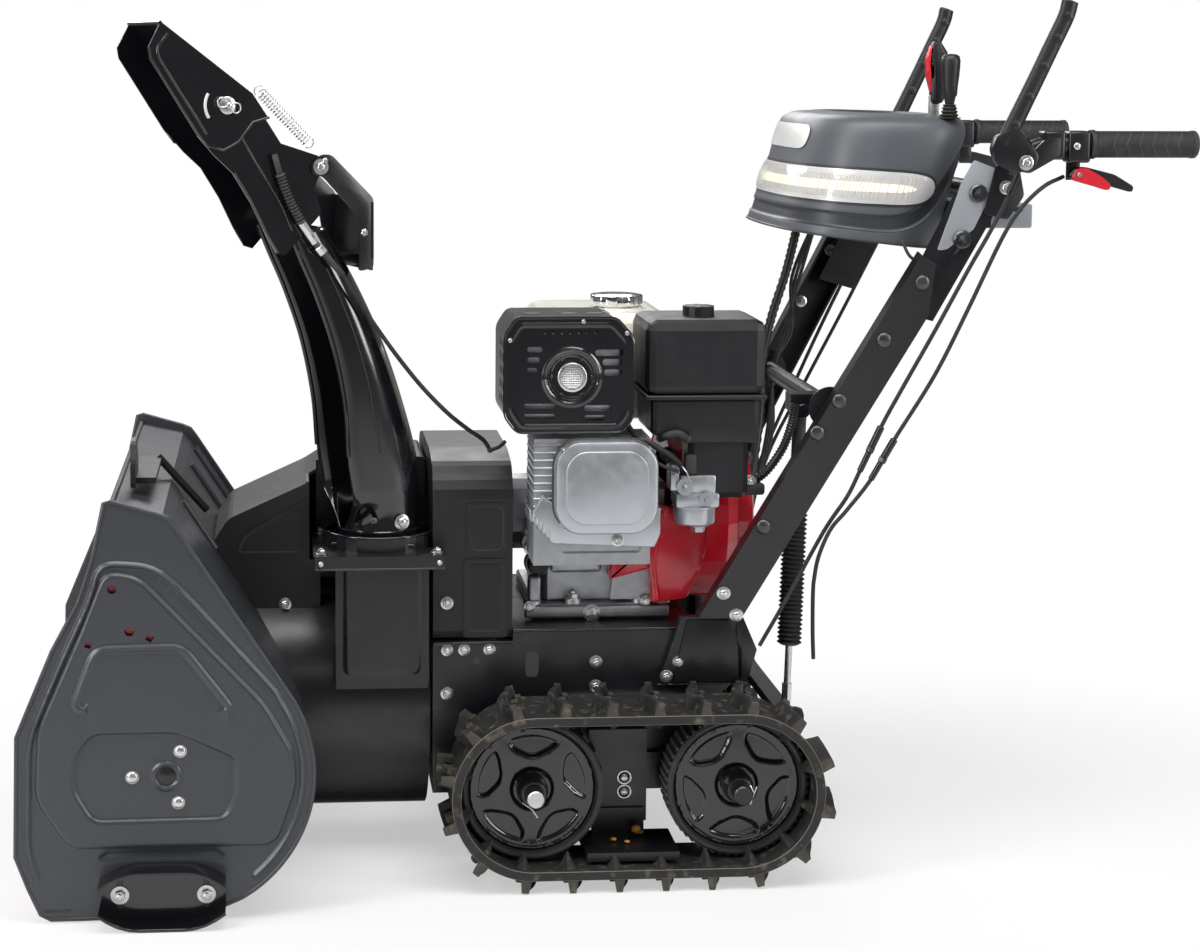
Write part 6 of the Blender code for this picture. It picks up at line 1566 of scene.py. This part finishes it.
STEER_CABLE = [
    (0.608, -0.252, 0.956), (0.57, -0.29, 0.945), (0.539, -0.298, 0.918), (0.514, -0.296, 0.877),
    (0.472, -0.29, 0.781), (0.432, -0.282, 0.693), (0.382, -0.272, 0.605), (0.353, -0.264, 0.549),
    (0.323, -0.256, 0.506), (0.303, -0.25, 0.479), (0.289, -0.244, 0.442), (0.285, -0.236, 0.409),
    (0.285, -0.23, 0.384), (0.288, -0.22, 0.33), (0.292, -0.21, 0.29),
]
for name, route in (("clutch", CLUTCH_CABLE), ("steer", STEER_CABLE)):
    cable = Shape().tube(through(route, 8), 0.0028, 12)
    cable.emit(name + "_line", RUBBER, "chassis", 60, 0, [name + "_cable"])
adjusters = Shape()
for route in (CLUTCH_CABLE, STEER_CABLE):
    start, end = Vector(route[6]), Vector(route[7])
    adjusters.rod(start, start.lerp(end, 0.45), 0.005, sides=20, edge=0.0008)
    adjusters.rod(start.lerp(end, 0.45), start.lerp(end, 0.56), 0.0062, sides=6, edge=0.0006)
    adjusters.rod(start.lerp(end, 0.56), end, 0.0042, sides=20, edge=0.0008)
adjusters.rod(CLUTCH_CABLE[0], Vector(CLUTCH_CABLE[0]).lerp(Vector(CLUTCH_CABLE[1]), 0.7), 0.0046, sides=20)
adjusters.emit("cable_adjusters", SATIN, "chassis", 40)
far_cables = Shape()
for radius, sides, route in ((0.0022, 10,
                              [(0.4, -0.215, 0.868), (0.412, -0.224, 0.845), (0.44, -0.228, 0.838),
                               (0.462, -0.232, 0.846), (0.476, -0.236, 0.862)]),
                             *[(0.0028, 10,
                                [(0.372, 0.19 + 0.006 * k, 0.865), (0.352 - 0.006 * k, 0.205, 0.78),
                                 (0.33 + 0.005 * k, 0.2, 0.7), (0.312, 0.19 + 0.005 * k, 0.64),
                                 (0.298 + 0.004 * k, 0.17, 0.54), (0.262, 0.14 + 0.006 * k, 0.4),
                                 (0.236, 0.12, 0.3)]) for k in range(3)],
                             (0.0028, 12,
                              [(0.6, 0.252, 0.958), (0.572, 0.288, 0.945), (0.54, 0.296, 0.915),
                               (0.505, 0.292, 0.85), (0.44, 0.282, 0.725), (0.372, 0.268, 0.6),
                               (0.318, 0.25, 0.5), (0.288, 0.232, 0.4), (0.284, 0.215, 0.3)]),
                             (0.0028, 12,
                              [(0.533, 0.295, 0.961), (0.512, 0.294, 0.91), (0.47, 0.29, 0.83),
                               (0.405, 0.28, 0.7), (0.345, 0.262, 0.575), (0.29, 0.238, 0.46),
                               (0.232, 0.215, 0.33)])):
    far_cables.tube(through(route, 8), radius, sides)
far_cables.emit("far_side_cables", RUBBER, "chassis", 60)

cable = Shape().tube(through(DEFLECTOR_CABLE, 8), 0.003, 12)
line = cable.emit("deflector_line", RUBBER, "chassis", 60, 0, ["deflector_cable"])
# The real cable is fixed at its engine end and bends as the chute turns; here the plain ride on the chassis
# is only undone, and it is left on no body.
line.parent = None
line.matrix_world = Matrix.Identity(4)
del line["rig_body"]
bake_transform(line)
sleeve = Shape().ribbed(through(DEFLECTOR_CABLE[1:4], 16), 0.0069, 0.005, 16)
sleeve.rod(DEFLECTOR_CABLE[0], DEFLECTOR_CABLE[1], 0.004, sides=20, edge=0.0006)
sleeve.rod(DEFLECTOR_CABLE[4], DEFLECTOR_CABLE[6], 0.0044, sides=20, edge=0.0008)
sleeve.emit("cable_bellows", RUBBER, "chute", 60)
start, bend, end = (Vector(DEFLECTOR_CABLE[k]) for k in (3, 4, 5))
fitting = Shape().rod(start, bend, 0.0058, sides=6, edge=0.0006)
fitting.rod(bend.lerp(end, 0.2), bend.lerp(end, 0.6), 0.0068, sides=6, edge=0.0006)
fitting.emit("cable_fitting", ZINC, "chute")

# ---------------------------------------------------------------- light, floor and camera

FLOOR_HALF, FLOOR_Z = 9, -0.0006
floor = bpy.data.meshes.new("floor")
corners = ((-1, -1), (1, -1), (1, 1), (-1, 1))
floor.from_pydata([(FLOOR_HALF * a, FLOOR_HALF * b, FLOOR_Z) for a, b in corners], [], [(0, 1, 2, 3)])
floor_object = bpy.data.objects.new("floor", floor)
bpy.context.scene.collection.objects.link(floor_object)


def for_camera(tree, lit, seen, share):
    """Shades with lit, but shows the camera seen, by share."""
    either = tree.nodes.new("ShaderNodeMixShader")
    tree.links.new(share, either.inputs["Fac"])
    tree.links.new(lit, either.inputs[1])
    tree.links.new(seen, either.inputs[2])
    return either.outputs["Shader"]


# The floor fades to pure white away from the machine, as studio paper does.
paper = Nodes("floor", (0.84, 0.84, 0.84), 0.6)
paper.vary_colour(0.01, 2.0)
add, link = paper.tree.nodes.new, paper.tree.links.new
glow = add("ShaderNodeEmission")
glow.inputs["Strength"].default_value = 1.0
reach = add("ShaderNodeMapping")
reach.inputs["Scale"].default_value = (0.5, 0.7, 1)
link(paper.coordinates, reach.inputs["Vector"])
far = add("ShaderNodeVectorMath")
far.operation = "LENGTH"
link(reach.outputs["Vector"], far.inputs[0])
share = paper.ramp(far.outputs["Value"], (0.5, 0.5, 0.5), (1, 1, 1), 0.36, 0.72)
only = add("ShaderNodeMath")
only.operation = "MULTIPLY"
link(share, only.inputs[0])
link(add("ShaderNodeLightPath").outputs["Is Camera Ray"], only.inputs[1])
surface = for_camera(paper.tree, paper.shader.outputs["BSDF"], glow.outputs["Emission"],
                     only.outputs["Value"])
link(surface, paper.tree.nodes["Material Output"].inputs["Surface"])
floor.materials.append(paper.made)

world = bpy.data.worlds.new("studio")
bpy.context.scene.world = world
world.use_nodes = True
tree = world.node_tree
lit, seen = tree.nodes["Background"], tree.nodes.new("ShaderNodeBackground")
for node, strength in ((lit, 0.16), (seen, 1.0)):
    node.inputs["Color"].default_value = (1, 1, 1, 1)
    node.inputs["Strength"].default_value = strength
camera_ray = tree.nodes.new("ShaderNodeLightPath").outputs["Is Camera Ray"]
sky = for_camera(tree, lit.outputs["Background"], seen.outputs["Background"], camera_ray)
tree.links.new(sky, tree.nodes["World Output"].inputs["Surface"])
bpy.context.scene.view_settings.view_transform = "Standard"


def softbox(name, at, target, width, height, power):
    lamp_data = bpy.data.lights.new(name, "AREA")
    lamp_data.shape, lamp_data.size, lamp_data.size_y = "RECTANGLE", width, height
    lamp_data.energy = power
    obj = bpy.data.objects.new(name, lamp_data)
    obj.location = at
    obj.rotation_mode = "QUATERNION"
    obj.rotation_quaternion = (Vector(target) - Vector(at)).to_track_quat("-Z", "Y")
    bpy.context.scene.collection.objects.link(obj)


softbox("overhead", (-0.2, -0.9, 2.7), (0, 0, 0.4), 2.8, 1.2, 62)
softbox("key", (-2.5, -1.5, 1.5), (0, 0, 0.5), 0.6, 2.0, 46)
softbox("fill", (2.5, -1.7, 1.5), (0.1, 0, 0.6), 0.6, 2.0, 34)
softbox("back", (-0.6, 2.4, 2.2), (0, 0, 0.5), 2.8, 1.0, 50)
softbox("front", (0.2, -4.4, 2.6), (0, 0, 0.5), 1.0, 0.4, 5)

# The camera looks along +Y, turned by yaw towards +X and pitched down, and rolls a little.
yaw, pitch, roll = math.radians(4.75), math.radians(7.031), math.radians(0.25)
forward = Vector((math.sin(yaw) * math.cos(pitch), math.cos(yaw) * math.cos(pitch), -math.sin(pitch)))
level = Vector((math.cos(yaw), -math.sin(yaw), 0))
over = level.cross(forward)
right = math.cos(roll) * level + math.sin(roll) * over
up = -math.sin(roll) * level + math.cos(roll) * over
camera_data = bpy.data.cameras.new("camera")
camera_data.sensor_width, camera_data.lens = 36.0, 72.8
camera_data.shift_x, camera_data.shift_y = 0.1, -0.1
camera = bpy.data.objects.new("camera", camera_data)
camera.rotation_mode = "QUATERNION"
camera.location = (-0.4394, -3.434, 1.113)
camera.rotation_quaternion = Matrix((right, up, -forward)).transposed().to_quaternion()
bpy.context.scene.collection.objects.link(camera)
bpy.context.scene.camera = camera
